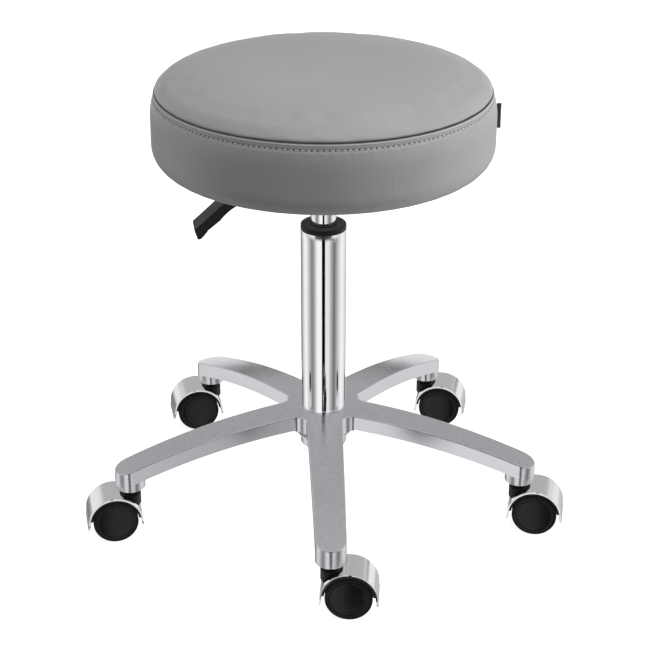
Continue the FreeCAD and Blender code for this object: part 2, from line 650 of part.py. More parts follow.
def body_pattern():
    """Black moulding inside the hood: arch, middle web, stem boss."""
    drum = across_axle("body_drum", "hood_radius - hood_wall - 0.1", "-20", "20")
    crown = rod("boss_crown", "crown_radius", "crown_top - crown_low",
                Placement(Vector(0, 0, size("crown_low")), Rotation()))
    wells = [across_axle("well_near", "wheel_radius + 0.8", "-21", "-1 * web_half"),
             across_axle("well_far", "wheel_radius + 0.8", "web_half", "21")]
    arch = cut("body_arch", fused("body_mass", [drum, crown]), fused("wheel_wells", wells))
    below = block("below_axle", ("-40", "-30", "-10"), ("80", "30", "body_foot"))
    web = across_axle("body_web", "web_radius", "-1 * web_half", "web_half")
    boss = rod("stem_boss", "boss_radius", "boss_high - journal_low + 3",
               Placement(Vector(0, 0, size("journal_low") - 3), Rotation()))
    solid = fused("body_solid", [cut("body_upper", arch, below), web, boss])
    journal = rod("journal_bore", "journal_radius + slip", "40",
                  Placement(Vector(0, 0, size("journal_low") - 0.3), Rotation()))
    axle = across_axle("axle_bore", "axle_radius", "-20", "20")
    return cut("body_pattern", solid, fused("body_holes", [journal, axle]))


def wheel_patterns():
    """Wheel and its pressed-in cap, turned about the axle; heights are distances from the middle."""
    wheel = turned("wheel_pattern", [
        ("axle_radius + slip", "5.6"), ("nave_radius", "5.6"), ("nave_radius", "12"), ("rim_bore", "12"),
        ("rim_bore", "rim_inner"),
        ("wheel_radius - 1.5", "rim_inner", "1.5"), ("wheel_radius", "rim_inner + 1.5"),
        ("wheel_radius", "wheel_outer - 1.5", "1.5"), ("wheel_radius - 1.5", "wheel_outer"),
        ("cap_seat", "wheel_outer"), ("cap_seat", "wheel_face"), ("axle_radius + slip", "wheel_face")])
    cap = turned("cap_pattern", [
        ("0", "wheel_face + 0.1"), ("cap_radius", "wheel_face + 0.1"), ("cap_radius", "18.6", "1"),
        ("cap_radius - 1", "19.6"), ("20.2", "19.7"), ("19.8", "19.4"), ("19.4", "19.75", "180"),
        ("2", "cap_crown"), ("0", "cap_crown")])
    doc.recompute()
    return Part.makeCompound([wheel.Shape, cap.Shape])


def casters():
    hood, body = hood_pattern(), body_pattern()
    axle = across_axle("axle_pattern", "axle_radius", "-16.3", "16.3")
    wheel = wheel_patterns()
    axle_middle = Vector(size("caster_trail"), 0, size("wheel_radius"))
    for number, (azimuth, heading) in enumerate(zip(ARM_AZIMUTHS, CASTER_HEADINGS), start=1):
        spot = about_z(heading, polar(size("stem_circle"), azimuth))
        for name, pattern in (("caster_hood", hood), ("caster_body", body), ("caster_axle", axle)):
            group("%s_%d" % (name, number), [placed(pattern.Shape, spot)])
        for side, turn in (("left", -90), ("right", 90)):
            facing = spot.multiply(Placement(axle_middle, Rotation(Vector(1, 0, 0), turn)))
            group("wheel_%s_%d" % (side, number), [placed(wheel, facing)])


def check_and_write():
    doc.recompute()
    for thing in doc.Objects:
        if "Invalid" in thing.State or "Error" in thing.State:
            raise RuntimeError("%s did not build: %s" % (thing.Name, thing.State))
    os.makedirs("parts", exist_ok=True)
    for node in nodes:
        shape = node.Shape
        if shape.isNull() or not shape.isValid() or not shape.Solids:
            raise RuntimeError("%s has no valid solid" % node.Label)
    for node in nodes:
        Part.makeCompound(node.Shape.Solids).exportStep("parts/%s.step" % node.Label)
        print("%-18s solids %2d  volume %.0f mm3" % (node.Label, len(node.Shape.Solids), node.Shape.Volume))


fill_sheet()
star_base()
caster_stems()
column()
piston_rod()
lift_cylinder()
screw_spots = seat_hardware()
cone_socket()
seat_board(screw_spots)
upholstery(screw_spots)
staples()
lever()
casters()
check_and_write()
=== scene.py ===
"""Round upholstered stool on a five-arm caster base: finished pieces, materials, light and camera.

Metres, +Z up, the origin on the floor under the column. The seat is at its lowest height.
"""
import bpy
import json
import math
from mathutils import Matrix, Vector


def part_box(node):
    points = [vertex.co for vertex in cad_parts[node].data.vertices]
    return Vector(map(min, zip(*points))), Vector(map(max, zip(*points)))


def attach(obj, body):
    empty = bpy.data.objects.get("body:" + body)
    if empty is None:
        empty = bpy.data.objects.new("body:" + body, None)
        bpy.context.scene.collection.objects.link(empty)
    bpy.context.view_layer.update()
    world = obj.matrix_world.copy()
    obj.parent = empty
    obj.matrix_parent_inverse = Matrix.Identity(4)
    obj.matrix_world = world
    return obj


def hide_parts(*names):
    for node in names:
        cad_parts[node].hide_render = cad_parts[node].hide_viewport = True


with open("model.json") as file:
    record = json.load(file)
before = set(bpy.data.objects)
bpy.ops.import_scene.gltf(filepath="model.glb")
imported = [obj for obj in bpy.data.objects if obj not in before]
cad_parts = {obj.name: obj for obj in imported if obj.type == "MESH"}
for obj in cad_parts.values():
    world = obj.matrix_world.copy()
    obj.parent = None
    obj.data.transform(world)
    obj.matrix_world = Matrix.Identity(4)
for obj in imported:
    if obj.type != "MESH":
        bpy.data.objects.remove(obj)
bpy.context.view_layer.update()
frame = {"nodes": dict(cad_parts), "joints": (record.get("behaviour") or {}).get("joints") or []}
MM = 0.001
scene = bpy.context.scene


# ---- working on one piece ------------------------------------------------------------

def only(piece):
    """Makes a piece the only one selected, and the active one."""
    bpy.ops.object.select_all(action="DESELECT")
    piece.select_set(True)
    bpy.context.view_layer.objects.active = piece


def start_from(primitive, name, **sizes):
    """Adds a primitive with everything else deselected and opens it for editing."""
    bpy.ops.object.select_all(action="DESELECT")
    primitive(**sizes)
    piece = bpy.context.object
    piece.name = name
    piece.data.name = name
    bpy.ops.object.mode_set(mode="EDIT")
    bpy.ops.mesh.select_all(action="SELECT")
    return piece


def close_piece(piece, recalculate=True):
    """Merges doubles, turns faces outwards and leaves edit mode."""
    bpy.ops.mesh.select_all(action="SELECT")
    bpy.ops.mesh.remove_doubles(threshold=0.002 * MM)
    if recalculate:
        bpy.ops.mesh.normals_make_consistent(inside=False)
    bpy.ops.object.mode_set(mode="OBJECT")
    return piece


def apply_all(piece):
    only(piece)
    for modifier in list(piece.modifiers):
        bpy.ops.object.modifier_apply(modifier=modifier.name)


def smooth(piece, degrees=35.0):
    only(piece)
    bpy.ops.object.shade_smooth_by_angle(angle=math.radians(degrees))


def soft_edges(piece, width, segments=2, degrees=40.0):
    """Rounds the sharp edges of a piece and keeps its broad faces flat to the light."""
    bevel = piece.modifiers.new("rounded edges", "BEVEL")
    bevel.limit_method = "ANGLE"
    bevel.angle_limit = math.radians(degrees)
    bevel.width = width
    bevel.segments = segments
    bevel.use_clamp_overlap = True
    weighted = piece.modifiers.new("face weighted shading", "WEIGHTED_NORMAL")
    weighted.keep_sharp = True
    apply_all(piece)


def divide(piece, levels=1):
    surface = piece.modifiers.new("subdivision", "SUBSURF")
    surface.levels = levels
    surface.render_levels = levels
    apply_all(piece)


def arc(start, end, radius, steps):
    """Points after start on an arc to end; its centre is on the left of the way for a positive radius."""
    start, end = Vector(start), Vector(end)
    way = end - start
    rise = math.sqrt(max(radius * radius - (way.length / 2) ** 2, 0.0))
    left = Vector((-way.y, way.x)).normalized()
    centre = (start + end) / 2 + left * (rise if radius > 0 else -rise)
    first = start - centre
    turn = first.angle_signed(end - centre)
    return [tuple(centre + Matrix.Rotation(-turn * step / steps, 2) @ first) for step in range(1, steps + 1)]


def line(start, end, steps):
    start, end = Vector(start), Vector(end)
    return [tuple(start.lerp(end, step / steps)) for step in range(1, steps + 1)]


def turned(name, profile, steps=128):
    """A piece turned about Z from (radius, height) points in millimetres."""
    spots = [Vector((radius, 0.0, height)) * MM for radius, height in profile]
    piece = start_from(bpy.ops.mesh.primitive_plane_add, name, size=MM)
    bpy.ops.mesh.merge(type="CENTER")
    bpy.ops.transform.translate(value=spots[0])
    for before, after in zip(spots, spots[1:]):
        bpy.ops.mesh.extrude_vertices_move(TRANSFORM_OT_translate={"value": after - before})
    bpy.ops.mesh.select_all(action="SELECT")
    bpy.ops.mesh.spin(steps=steps, angle=math.tau, center=(0, 0, 0), axis=(0, 0, 1))
    return close_piece(piece)


def move_points(piece, rule):
    """Moves each point of a finished mesh to the place that a rule gives for it."""
    for vertex in piece.data.vertices:
        vertex.co = rule(vertex.co)
    piece.data.update()


def settled_at(piece, place):
    """Puts a piece where a matrix says and fixes that place in its mesh."""
    piece.matrix_world = place @ piece.matrix_world
    only(piece)
    bpy.ops.object.transform_apply(location=True, rotation=True, scale=True)
    return piece


def copy_to(pattern, name, place):
    """A copy of a pattern with its own mesh, at a place."""
    piece = bpy.data.objects.new(name, pattern.data.copy())
    scene.collection.objects.link(piece)
    return settled_at(piece, place)


def drop(piece):
    bpy.data.objects.remove(piece)


def from_node(node, name):
    """A separate copy of a node's mesh with its loose corners joined and its flat faces made whole."""
    piece = bpy.data.objects.new(name, frame["nodes"][node].data.copy())
    scene.collection.objects.link(piece)
    piece.data.materials.clear()
    only(piece)
    bpy.ops.object.mode_set(mode="EDIT")
    bpy.ops.mesh.select_all(action="SELECT")
    bpy.ops.mesh.remove_doubles(threshold=0.004 * MM)
    bpy.ops.mesh.customdata_custom_splitnormals_clear()
    bpy.ops.mesh.select_all(action="SELECT")
    bpy.ops.mesh.dissolve_limited(angle_limit=math.radians(0.4))
    bpy.ops.object.mode_set(mode="OBJECT")
    return piece


def finish_piece(piece, body, slot, material, *nodes):
    """Gives a piece its material, the body it moves with and the nodes it stands for."""
    piece.data.materials.clear()
    piece.data.materials.append(material)
    piece.visible_glossy = body not in ("seat", "lever", "release_button") and slot != "cast_aluminium"
    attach(piece, body)
    if nodes:
        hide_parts(*nodes)
    return piece


# ---- shared effects ------------------------------------------------------------------

def effect(name, inputs, outputs):
    """A shader node group with named inputs (name, kind, value) and outputs (name, kind)."""
    group = bpy.data.node_groups.new(name, "ShaderNodeTree")
    for label, kind, value in inputs:
        socket = group.interface.new_socket(label, in_out="INPUT", socket_type=kind)
        if value is not None:
            socket.default_value = value
    for label, kind in outputs:
        group.interface.new_socket(label, in_out="OUTPUT", socket_type=kind)
    start = group.nodes.new("NodeGroupInput")
    end = group.nodes.new("NodeGroupOutput")
    return group, start, end


def add(tree, kind, **settings):
    """A node with its settings; inputs are given as in_<number>, either a value or a socket to join."""
    node = tree.nodes.new(kind)
    for key, value in settings.items():
        if key.startswith("in_"):
            socket = node.inputs[int(key[3:])]
            if isinstance(value, bpy.types.NodeSocket):
                tree.links.new(value, socket)
            else:
                socket.default_value = value
        else:
            setattr(node, key, value)
    return node


def math_node(tree, operation, first, second=0.0, clamp=False):
    return add(tree, "ShaderNodeMath", operation=operation, use_clamp=clamp, in_0=first, in_1=second).outputs[0]


def grade(tree, value, low, high, first=0.0, last=1.0):
    """A smooth step of a value between low and high, given out between first and last."""
    node = add(tree, "ShaderNodeMapRange", interpolation_type="SMOOTHSTEP", in_0=value, in_1=low, in_2=high,
               in_3=first, in_4=last)
    return node.outputs[0]


def grain_effect():
    """Fine grain: a height that varies at two sizes, with the normal it gives."""
    group, start, end = effect("fine grain", [("Place", "NodeSocketVector", None), ("Size", "NodeSocketFloat", 1000.0),
                                              ("Depth", "NodeSocketFloat", 0.02 * MM),
                                              ("Strength", "NodeSocketFloat", 0.4)],
                               [("Normal", "NodeSocketVector"), ("Height", "NodeSocketFloat")])
    coarse = add(group, "ShaderNodeTexNoise", in_0=start.outputs["Place"], in_2=start.outputs["Size"], in_3=3.0)
    finer = math_node(group, "MULTIPLY", start.outputs["Size"], 3.1)
    fine = add(group, "ShaderNodeTexNoise", in_0=start.outputs["Place"], in_2=finer, in_3=2.0)
    height = math_node(group, "MULTIPLY_ADD", fine.outputs[0], 0.4)
    group.links.new(coarse.outputs[0], height.node.inputs[2])
    bump = add(group, "ShaderNodeBump", in_0=start.outputs["Strength"], in_1=start.outputs["Depth"])
    group.links.new(height, bump.inputs["Height"])
    group.links.new(bump.outputs[0], end.inputs["Normal"])
    group.links.new(height, end.inputs["Height"])
    return group


def pebble_effect():
    """Leather grain: rounded pebbles between fine creases."""
    group, start, end = effect("pebbled leather", [("Place", "NodeSocketVector", None),
                                                   ("Size", "NodeSocketFloat", 900.0)],
                               [("Height", "NodeSocketFloat"), ("Creases", "NodeSocketFloat")])
    warp = add(group, "ShaderNodeTexNoise", in_0=start.outputs["Place"], in_2=260.0, in_3=2.0)
    shift = add(group, "ShaderNodeVectorMath", operation="SCALE", in_0=warp.outputs[1])
    shift.inputs["Scale"].default_value = 1.2 * MM
    place = add(group, "ShaderNodeVectorMath", operation="ADD", in_0=start.outputs["Place"], in_1=shift.outputs[0])
    cells = add(group, "ShaderNodeTexVoronoi", feature="DISTANCE_TO_EDGE", in_0=place.outputs[0],
                in_2=start.outputs["Size"])
    pebble = grade(group, cells.outputs[0], 0.02, 0.32)
    dents = add(group, "ShaderNodeTexNoise", in_0=start.outputs["Place"], in_2=420.0, in_3=3.0)
    height = math_node(group, "MULTIPLY_ADD", dents.outputs[0], 0.8)
    group.links.new(pebble, height.node.inputs[2])
    group.links.new(height, end.inputs["Height"])
    group.links.new(math_node(group, "SUBTRACT", 1.0, pebble), end.inputs["Creases"])
    return group


def smudge_effect():
    """Handling marks and dust: a soft broken mask."""
    group, start, end = effect("handling marks", [("Place", "NodeSocketVector", None),
                                                  ("Size", "NodeSocketFloat", 18.0),
                                                  ("Amount", "NodeSocketFloat", 0.5)],
                               [("Mask", "NodeSocketFloat")])
    cloud = add(group, "ShaderNodeTexNoise", in_0=start.outputs["Place"], in_2=start.outputs["Size"], in_3=5.0,
                in_4=0.62)
    finer = math_node(group, "MULTIPLY", start.outputs["Size"], 9.0)
    specks = add(group, "ShaderNodeTexNoise", in_0=start.outputs["Place"], in_2=finer, in_3=3.0)
    both = math_node(group, "MULTIPLY", grade(group, cloud.outputs[0], 0.42, 0.68),
                     grade(group, specks.outputs[0], 0.3, 0.7, 0.55, 1.0))
    group.links.new(math_node(group, "MULTIPLY", both, start.outputs["Amount"]), end.inputs["Mask"])
    return group


def streak_effect():
    """Polishing lines: noise drawn out along one way by the stretch of the place it is given."""
    group, start, end = effect("polishing lines", [("Place", "NodeSocketVector", None),
                                                   ("Size", "NodeSocketFloat", 1.0)],
                               [("Value", "NodeSocketFloat")])
    lines = add(group, "ShaderNodeTexNoise", in_0=start.outputs["Place"], in_2=start.outputs["Size"], in_3=4.0,
                in_4=0.7)
    group.links.new(grade(group, lines.outputs[0], 0.3, 0.7), end.inputs["Value"])
    return group


def weave_effect():
    """Woven threads: over and under in two directions."""
    group, start, end = effect("weave", [("Place", "NodeSocketVector", None), ("Size", "NodeSocketFloat", 2200.0)],
                               [("Height", "NodeSocketFloat")])
    scaled = add(group, "ShaderNodeVectorMath", operation="SCALE", in_0=start.outputs["Place"])
    group.links.new(start.outputs["Size"], scaled.inputs["Scale"])
    parts = add(group, "ShaderNodeSeparateXYZ", in_0=scaled.outputs[0])
    across = math_node(group, "ADD", parts.outputs[0], parts.outputs[1])
    warp = math_node(group, "ABSOLUTE", math_node(group, "SINE", across))
    weft = math_node(group, "ABSOLUTE", math_node(group, "SINE", parts.outputs[2]))
    group.links.new(math_node(group, "MULTIPLY", warp, weft), end.inputs["Height"])
    return group


GRAIN = grain_effect()
PEBBLES = pebble_effect()
SMUDGES = smudge_effect()
STREAKS = streak_effect()
WEAVE = weave_effect()


# ---- materials -----------------------------------------------------------------------

class Finish:
    """A material under construction: its tree, its shader and the place on the object."""

    def __init__(self, name, rough=0.5, metal=0.0, colour=(0.5, 0.5, 0.5)):
        self.material = bpy.data.materials.new(name)
        self.material.use_nodes = True
        self.tree = self.material.node_tree
        self.shader = self.tree.nodes["Principled BSDF"]
        self.shader.inputs["Roughness"].default_value = rough
        self.shader.inputs["Metallic"].default_value = metal
        self.shader.inputs["Base Color"].default_value = (*colour, 1.0)
        self.material.diffuse_color = (*colour, 1.0)
        self.place = add(self.tree, "ShaderNodeTexCoord").outputs["Object"]

    def use(self, effect_group, **values):
        """Places a shared effect with its values; Place is the object's own unless it is given."""
        node = self.tree.nodes.new("ShaderNodeGroup")
        node.node_tree = effect_group
        values.setdefault("Place", self.place)
        for label, value in values.items():
            if isinstance(value, bpy.types.NodeSocket):
                self.tree.links.new(value, node.inputs[label])
            else:
                node.inputs[label].default_value = value
        return node.outputs

    def stretched(self, x, y, z):
        """The place on the object drawn out by a scale for each direction."""
        node = add(self.tree, "ShaderNodeMapping", in_0=self.place)
        node.inputs["Scale"].default_value = (x, y, z)
        return node.outputs[0]

    def feed(self, label, socket):
        self.tree.links.new(socket, self.shader.inputs[label])

    def between(self, mask, first, second):
        """A colour that goes from first to second with a mask."""
        node = add(self.tree, "ShaderNodeMix", data_type="RGBA")
        for position, value in ((0, mask), (6, first), (7, second)):
            if isinstance(value, bpy.types.NodeSocket):
                self.tree.links.new(value, node.inputs[position])
            elif position:
                node.inputs[position].default_value = (*value, 1.0)
        return node.outputs[2]

    def bump(self, height, depth, strength=1.0):
        node = add(self.tree, "ShaderNodeBump", in_0=strength, in_1=depth)
        self.tree.links.new(height, node.inputs["Height"])
        self.feed("Normal", node.outputs[0])

    def height_on_object(self):
        return add(self.tree, "ShaderNodeSeparateXYZ", in_0=self.place).outputs[2]

    def reach_on_object(self):
        """Distance from the column's axis."""
        flat = add(self.tree, "ShaderNodeVectorMath", operation="MULTIPLY", in_0=self.place, in_1=(1.0, 1.0, 0.0))
        return add(self.tree, "ShaderNodeVectorMath", operation="LENGTH", in_0=flat.outputs[0]).outputs["Value"]


def leatherette(name, seam_high):
    """Grey imitation leather: fine pebbles with painted shade in their creases, a little mottling, painted shade (near
    black) in the seam groove, and a painted highlight (paler colour) along the folded edge just below it.
    """
    finish = Finish(name, rough=0.44)
    pebbles = finish.use(PEBBLES, Size=820.0)
    cloud = finish.use(SMUDGES, Size=9.0, Amount=1.0)["Mask"]
    tone = finish.between(cloud, (0.262, 0.262, 0.268), (0.284, 0.284, 0.288))
    # Painted shade: the fine creases between the pebbles are darkened a little, standing in for the shade that falls in
    # them.
    tone = finish.between(math_node(finish.tree, "MULTIPLY", pebbles["Creases"], 0.22), tone, (0.15, 0.15, 0.155))
    height = finish.height_on_object()
    # Painted highlight: the colour is made paler in a narrow band just below the seam, standing in for the light that
    # the rounded folded edge catches from above.
    below = math_node(finish.tree, "ABSOLUTE", math_node(finish.tree, "SUBTRACT", height, seam_high - 1.5 * MM))
    fold_painted_highlight = math_node(finish.tree, "MULTIPLY", grade(finish.tree, below, 0.25 * MM, 0.75 * MM, 1.0, 0.0), 0.6)
    tone = finish.between(fold_painted_highlight, tone, (0.42, 0.42, 0.43))
    # Painted shade: a near-black colour in a narrow band at the seam's height stands in for the shade inside the seam
    # groove.
    away = math_node(finish.tree, "ABSOLUTE", math_node(finish.tree, "SUBTRACT", height, seam_high))
    finish.feed("Base Color", finish.between(grade(finish.tree, away, 0.4 * MM, 0.85 * MM, 1.0, 0.0), tone,
                                             (0.012, 0.012, 0.014)))
    finish.feed("Roughness", grade(finish.tree, cloud, 0.0, 1.0, 0.40, 0.47))
    finish.bump(pebbles["Height"], 0.05 * MM, 0.30)
    return finish.material


def sewing_thread():
    finish = Finish("grey sewing thread", rough=0.6, colour=(0.36, 0.36, 0.37))
    twist = finish.use(WEAVE, Size=5200.0)["Height"]
    finish.feed("Base Color", finish.between(twist, (0.30, 0.30, 0.305), (0.56, 0.56, 0.57)))
    finish.bump(twist, 0.06 * MM, 0.6)
    finish.shader.inputs["Sheen Weight"].default_value = 0.15
    return finish.material


def needle_hole_painted_shade():
    # Painted shade: a near-black colour stands in for the shade inside each needle hole.
    finish = Finish("needle hole", rough=0.9)
    speck = finish.use(GRAIN, Size=2500.0)
    finish.feed("Base Color", finish.between(speck["Height"], (0.008, 0.008, 0.009), (0.02, 0.02, 0.022)))
    return finish.material


def cast_aluminium():
    """Satin polished casting: polishing lines along the arms, fine blasted grain, faint marks."""
    finish = Finish("satin cast aluminium", rough=0.22, metal=1.0)
    lines = finish.use(STREAKS, Place=finish.stretched(160.0, 160.0, 900.0), Size=1.0)["Value"]
    marks = finish.use(SMUDGES, Size=14.0, Amount=1.0)["Mask"]
    tone = finish.between(lines, (0.60, 0.612, 0.628), (0.655, 0.665, 0.68))
    finish.feed("Base Color", finish.between(math_node(finish.tree, "MULTIPLY", marks, 0.12), tone,
                                             (0.56, 0.57, 0.585)))
    rough = math_node(finish.tree, "ADD", grade(finish.tree, lines, 0.0, 1.0, 0.20, 0.23),
                      math_node(finish.tree, "MULTIPLY", marks, 0.05))
    finish.feed("Roughness", rough)
    finish.feed("Normal", finish.use(GRAIN, Size=1500.0, Strength=0.03, Depth=0.02 * MM)["Normal"])
    return finish.material


def chrome(name, tint, rough, ripple):
    """Bright plating with very fine waviness and a breath of handling marks."""
    finish = Finish(name, rough=rough, metal=1.0)
    marks = finish.use(SMUDGES, Size=22.0, Amount=1.0)["Mask"]
    finish.feed("Base Color", finish.between(marks, tint, tuple(0.97 * part for part in tint)))
    finish.feed("Roughness", grade(finish.tree, marks, 0.0, 1.0, rough, rough + 0.03))
    finish.feed("Normal", finish.use(GRAIN, Size=60.0, Strength=ripple, Depth=0.05 * MM)["Normal"])
    return finish.material


def zinc():
    """Zinc plating with its cloudy spangle."""
    finish = Finish("zinc plated steel", rough=0.36, metal=1.0)
    cells = add(finish.tree, "ShaderNodeTexVoronoi", in_0=finish.place, in_2=700.0)
    marks = finish.use(SMUDGES, Size=60.0, Amount=1.0)["Mask"]
    tone = finish.between(cells.outputs[0], (0.60, 0.60, 0.58), (0.50, 0.51, 0.50))
    finish.feed("Base Color", finish.between(math_node(finish.tree, "MULTIPLY", marks, 0.5), tone, (0.40, 0.40, 0.38)))
    finish.feed("Roughness", grade(finish.tree, marks, 0.0, 1.0, 0.30, 0.48))
    finish.feed("Normal", finish.use(GRAIN, Size=900.0, Strength=0.2, Depth=0.02 * MM)["Normal"])
    return finish.material


def moulded_black(name, tone, rough, grain_strength, grain_size=1400.0):
    """Moulded plastic: spark-eroded texture, faint dusty bloom."""
    finish = Finish(name, rough=rough)
    marks = finish.use(SMUDGES, Size=30.0, Amount=1.0)["Mask"]
    grain = finish.use(GRAIN, Size=grain_size, Strength=grain_strength, Depth=0.03 * MM)
    dusty = tuple(part * 1.3 + 0.002 for part in tone)
    mixed = finish.between(grade(finish.tree, grain["Height"], 0.4, 1.0), tuple(part * 0.8 for part in tone),
                           tuple(part * 1.15 for part in tone))
    finish.feed("Base Color", finish.between(math_node(finish.tree, "MULTIPLY", marks, 0.5), mixed, dusty))
    finish.feed("Roughness", grade(finish.tree, marks, 0.0, 1.0, rough, min(rough + 0.1, 1.0)))
    finish.feed("Normal", grain["Normal"])
    finish.shader.inputs["Specular IOR Level"].default_value = 0.25
    return finish.material


def painted_steel():
    """Black powder coat with its orange-peel skin."""
    finish = Finish("black powder coat", rough=0.42, colour=(0.02, 0.02, 0.022))
    peel = finish.use(GRAIN, Size=480.0, Strength=0.35, Depth=0.08 * MM)
    marks = finish.use(SMUDGES, Size=25.0, Amount=1.0)["Mask"]
    finish.feed("Base Color", finish.between(marks, (0.016, 0.016, 0.018), (0.034, 0.034, 0.036)))
    finish.feed("Roughness", grade(finish.tree, marks, 0.0, 1.0, 0.38, 0.52))
    finish.feed("Normal", peel["Normal"])
    return finish.material


def rubber():
    finish = Finish("grey-black rubber", rough=0.75, colour=(0.03, 0.03, 0.03))
    grain = finish.use(GRAIN, Size=1100.0, Strength=0.3, Depth=0.04 * MM)
    finish.feed("Base Color", finish.between(grain["Height"], (0.022, 0.022, 0.022), (0.045, 0.044, 0.043)))
    finish.feed("Normal", grain["Normal"])
    return finish.material


def plywood(base):
    """Birch plywood: long grain on the faces, thin plies on the edge."""
    finish = Finish("birch plywood", rough=0.6)
    grain = finish.use(STREAKS, Place=finish.stretched(12.0, 190.0, 40.0), Size=1.0)["Value"]
    face = finish.between(grain, (0.52, 0.36, 0.21), (0.62, 0.46, 0.29))
    up = math_node(finish.tree, "SUBTRACT", finish.height_on_object(), base)
    ply = math_node(finish.tree, "PINGPONG", math_node(finish.tree, "DIVIDE", up, 1.7 * MM), 1.0)
    glue = grade(finish.tree, ply, 0.0, 0.12, 1.0, 0.0)
    banded = finish.between(grade(finish.tree, ply, 0.3, 0.7), face, (0.44, 0.29, 0.16))
    finish.feed("Base Color", finish.between(math_node(finish.tree, "MULTIPLY", glue, 0.7), banded, (0.2, 0.12, 0.06)))
    finish.bump(grain, 0.05 * MM, 0.4)
    return finish.material


def foam_yellow():
    finish = Finish("upholstery foam", rough=0.9)
    cells = add(finish.tree, "ShaderNodeTexVoronoi", in_0=finish.place, in_2=700.0)
    finish.feed("Base Color", finish.between(cells.outputs[0], (0.62, 0.56, 0.40), (0.78, 0.73, 0.55)))
    finish.bump(cells.outputs[0], 0.4 * MM, 0.7)
    return finish.material


def dust_cloth():
    """Black spun-bonded cloth with its pressed diamond dots."""
    finish = Finish("black spun-bonded cloth", rough=0.88)
    turned_place = add(finish.tree, "ShaderNodeMapping", in_0=finish.place)
    turned_place.inputs["Rotation"].default_value = (0.0, 0.0, math.radians(45.0))
    parts = add(finish.tree, "ShaderNodeSeparateXYZ", in_0=turned_place.outputs[0])
    waves = [math_node(finish.tree, "COSINE", math_node(finish.tree, "MULTIPLY", parts.outputs[axis], 2900.0))
             for axis in (0, 1)]
    dots = grade(finish.tree, math_node(finish.tree, "MULTIPLY", waves[0], waves[1]), 0.35, 0.75)
    fibres = finish.use(GRAIN, Size=1700.0, Strength=0.4, Depth=0.05 * MM)
    tone = finish.between(fibres["Height"], (0.014, 0.014, 0.015), (0.04, 0.04, 0.042))
    finish.feed("Base Color", finish.between(dots, tone, (0.012, 0.012, 0.013)))
    height = math_node(finish.tree, "SUBTRACT", fibres["Height"], math_node(finish.tree, "MULTIPLY", dots, 0.8))
    finish.bump(height, 0.12 * MM, 0.6)
    finish.shader.inputs["Sheen Weight"].default_value = 0.2
    return finish.material


def ribbon():
    """Dark woven ribbon with a painted sheen: paler colour along its folded edge."""
    finish = Finish("dark woven ribbon", rough=0.6)
    threads = finish.use(WEAVE, Size=6200.0)["Height"]
    reach = finish.reach_on_object()
    tone = finish.between(threads, (0.010, 0.010, 0.012), (0.045, 0.045, 0.05))
    # Painted sheen: the colour turns pale near the outer reach of the folded edge, standing in for the light that the
    # edge catches.
    edge = grade(finish.tree, reach, 184.9 * MM, 186.0 * MM)
    finish.feed("Base Color", finish.between(edge, tone, (0.46, 0.46, 0.47)))
    finish.bump(threads, 0.08 * MM, 0.7)
    finish.shader.inputs["Sheen Weight"].default_value = 0.15
    return finish.material


# ---- camera, light and floor ---------------------------------------------------------

def camera():
    data = bpy.data.cameras.new("camera")
    data.lens = 93.56
    data.sensor_width = 36.0
    data.shift_x = 0.0023
    holder = bpy.data.objects.new("camera", data)
    holder.location = (0.0, -1.6948, 1.0311)
    holder.rotation_euler = (math.radians(64.42), 0.0, 0.0)
    scene.collection.objects.link(holder)
    scene.camera = holder


def softbox(name, spot, aim, width, height, power, in_mirrors=False):
    data = bpy.data.lights.new(name, "AREA")
    data.shape = "RECTANGLE"
    data.size = width
    data.size_y = height
    data.energy = power
    holder = bpy.data.objects.new(name, data)
    holder.location = spot
    holder.rotation_euler = (Vector(aim) - Vector(spot)).to_track_quat("-Z", "Y").to_euler()
    holder.visible_glossy = in_mirrors
    scene.collection.objects.link(holder)


def shaded_ramp(tree, value, stops):
    """A brightness for each value from 0 to 1, from sorted stops (value, brightness)."""
    node = add(tree, "ShaderNodeValToRGB", in_0=value)
    ramp = node.color_ramp
    ramp.interpolation = "LINEAR"
    ramp.elements[0].position = stops[0][0]
    ramp.elements[1].position = stops[-1][0]
    for position, _ in stops[1:-1]:
        ramp.elements.new(position)
    for element, (_, bright) in zip(ramp.elements, stops):
        element.color = (bright, bright, bright * 1.01, 1.0)
    return node.outputs[0]


def ring_of_light(tree, azimuth, stops):
    """A brightness for each direction round the object, from stops (degrees from +X, brightness)."""
    return shaded_ramp(tree, azimuth, sorted(((degrees + 180.0) / 360.0, bright) for degrees, bright in stops))


def wall_of_light(tree, rise, stops):
    """A brightness for each height in the sky, from stops (degrees above the horizon, brightness)."""
    value = add(tree, "ShaderNodeMath", operation="MULTIPLY_ADD", in_0=rise, in_1=0.5, in_2=0.5).outputs[0]
    spots = sorted((0.5 + 0.5 * math.sin(math.radians(degrees)), bright) for degrees, bright in stops)
    return shaded_ramp(tree, value, spots)


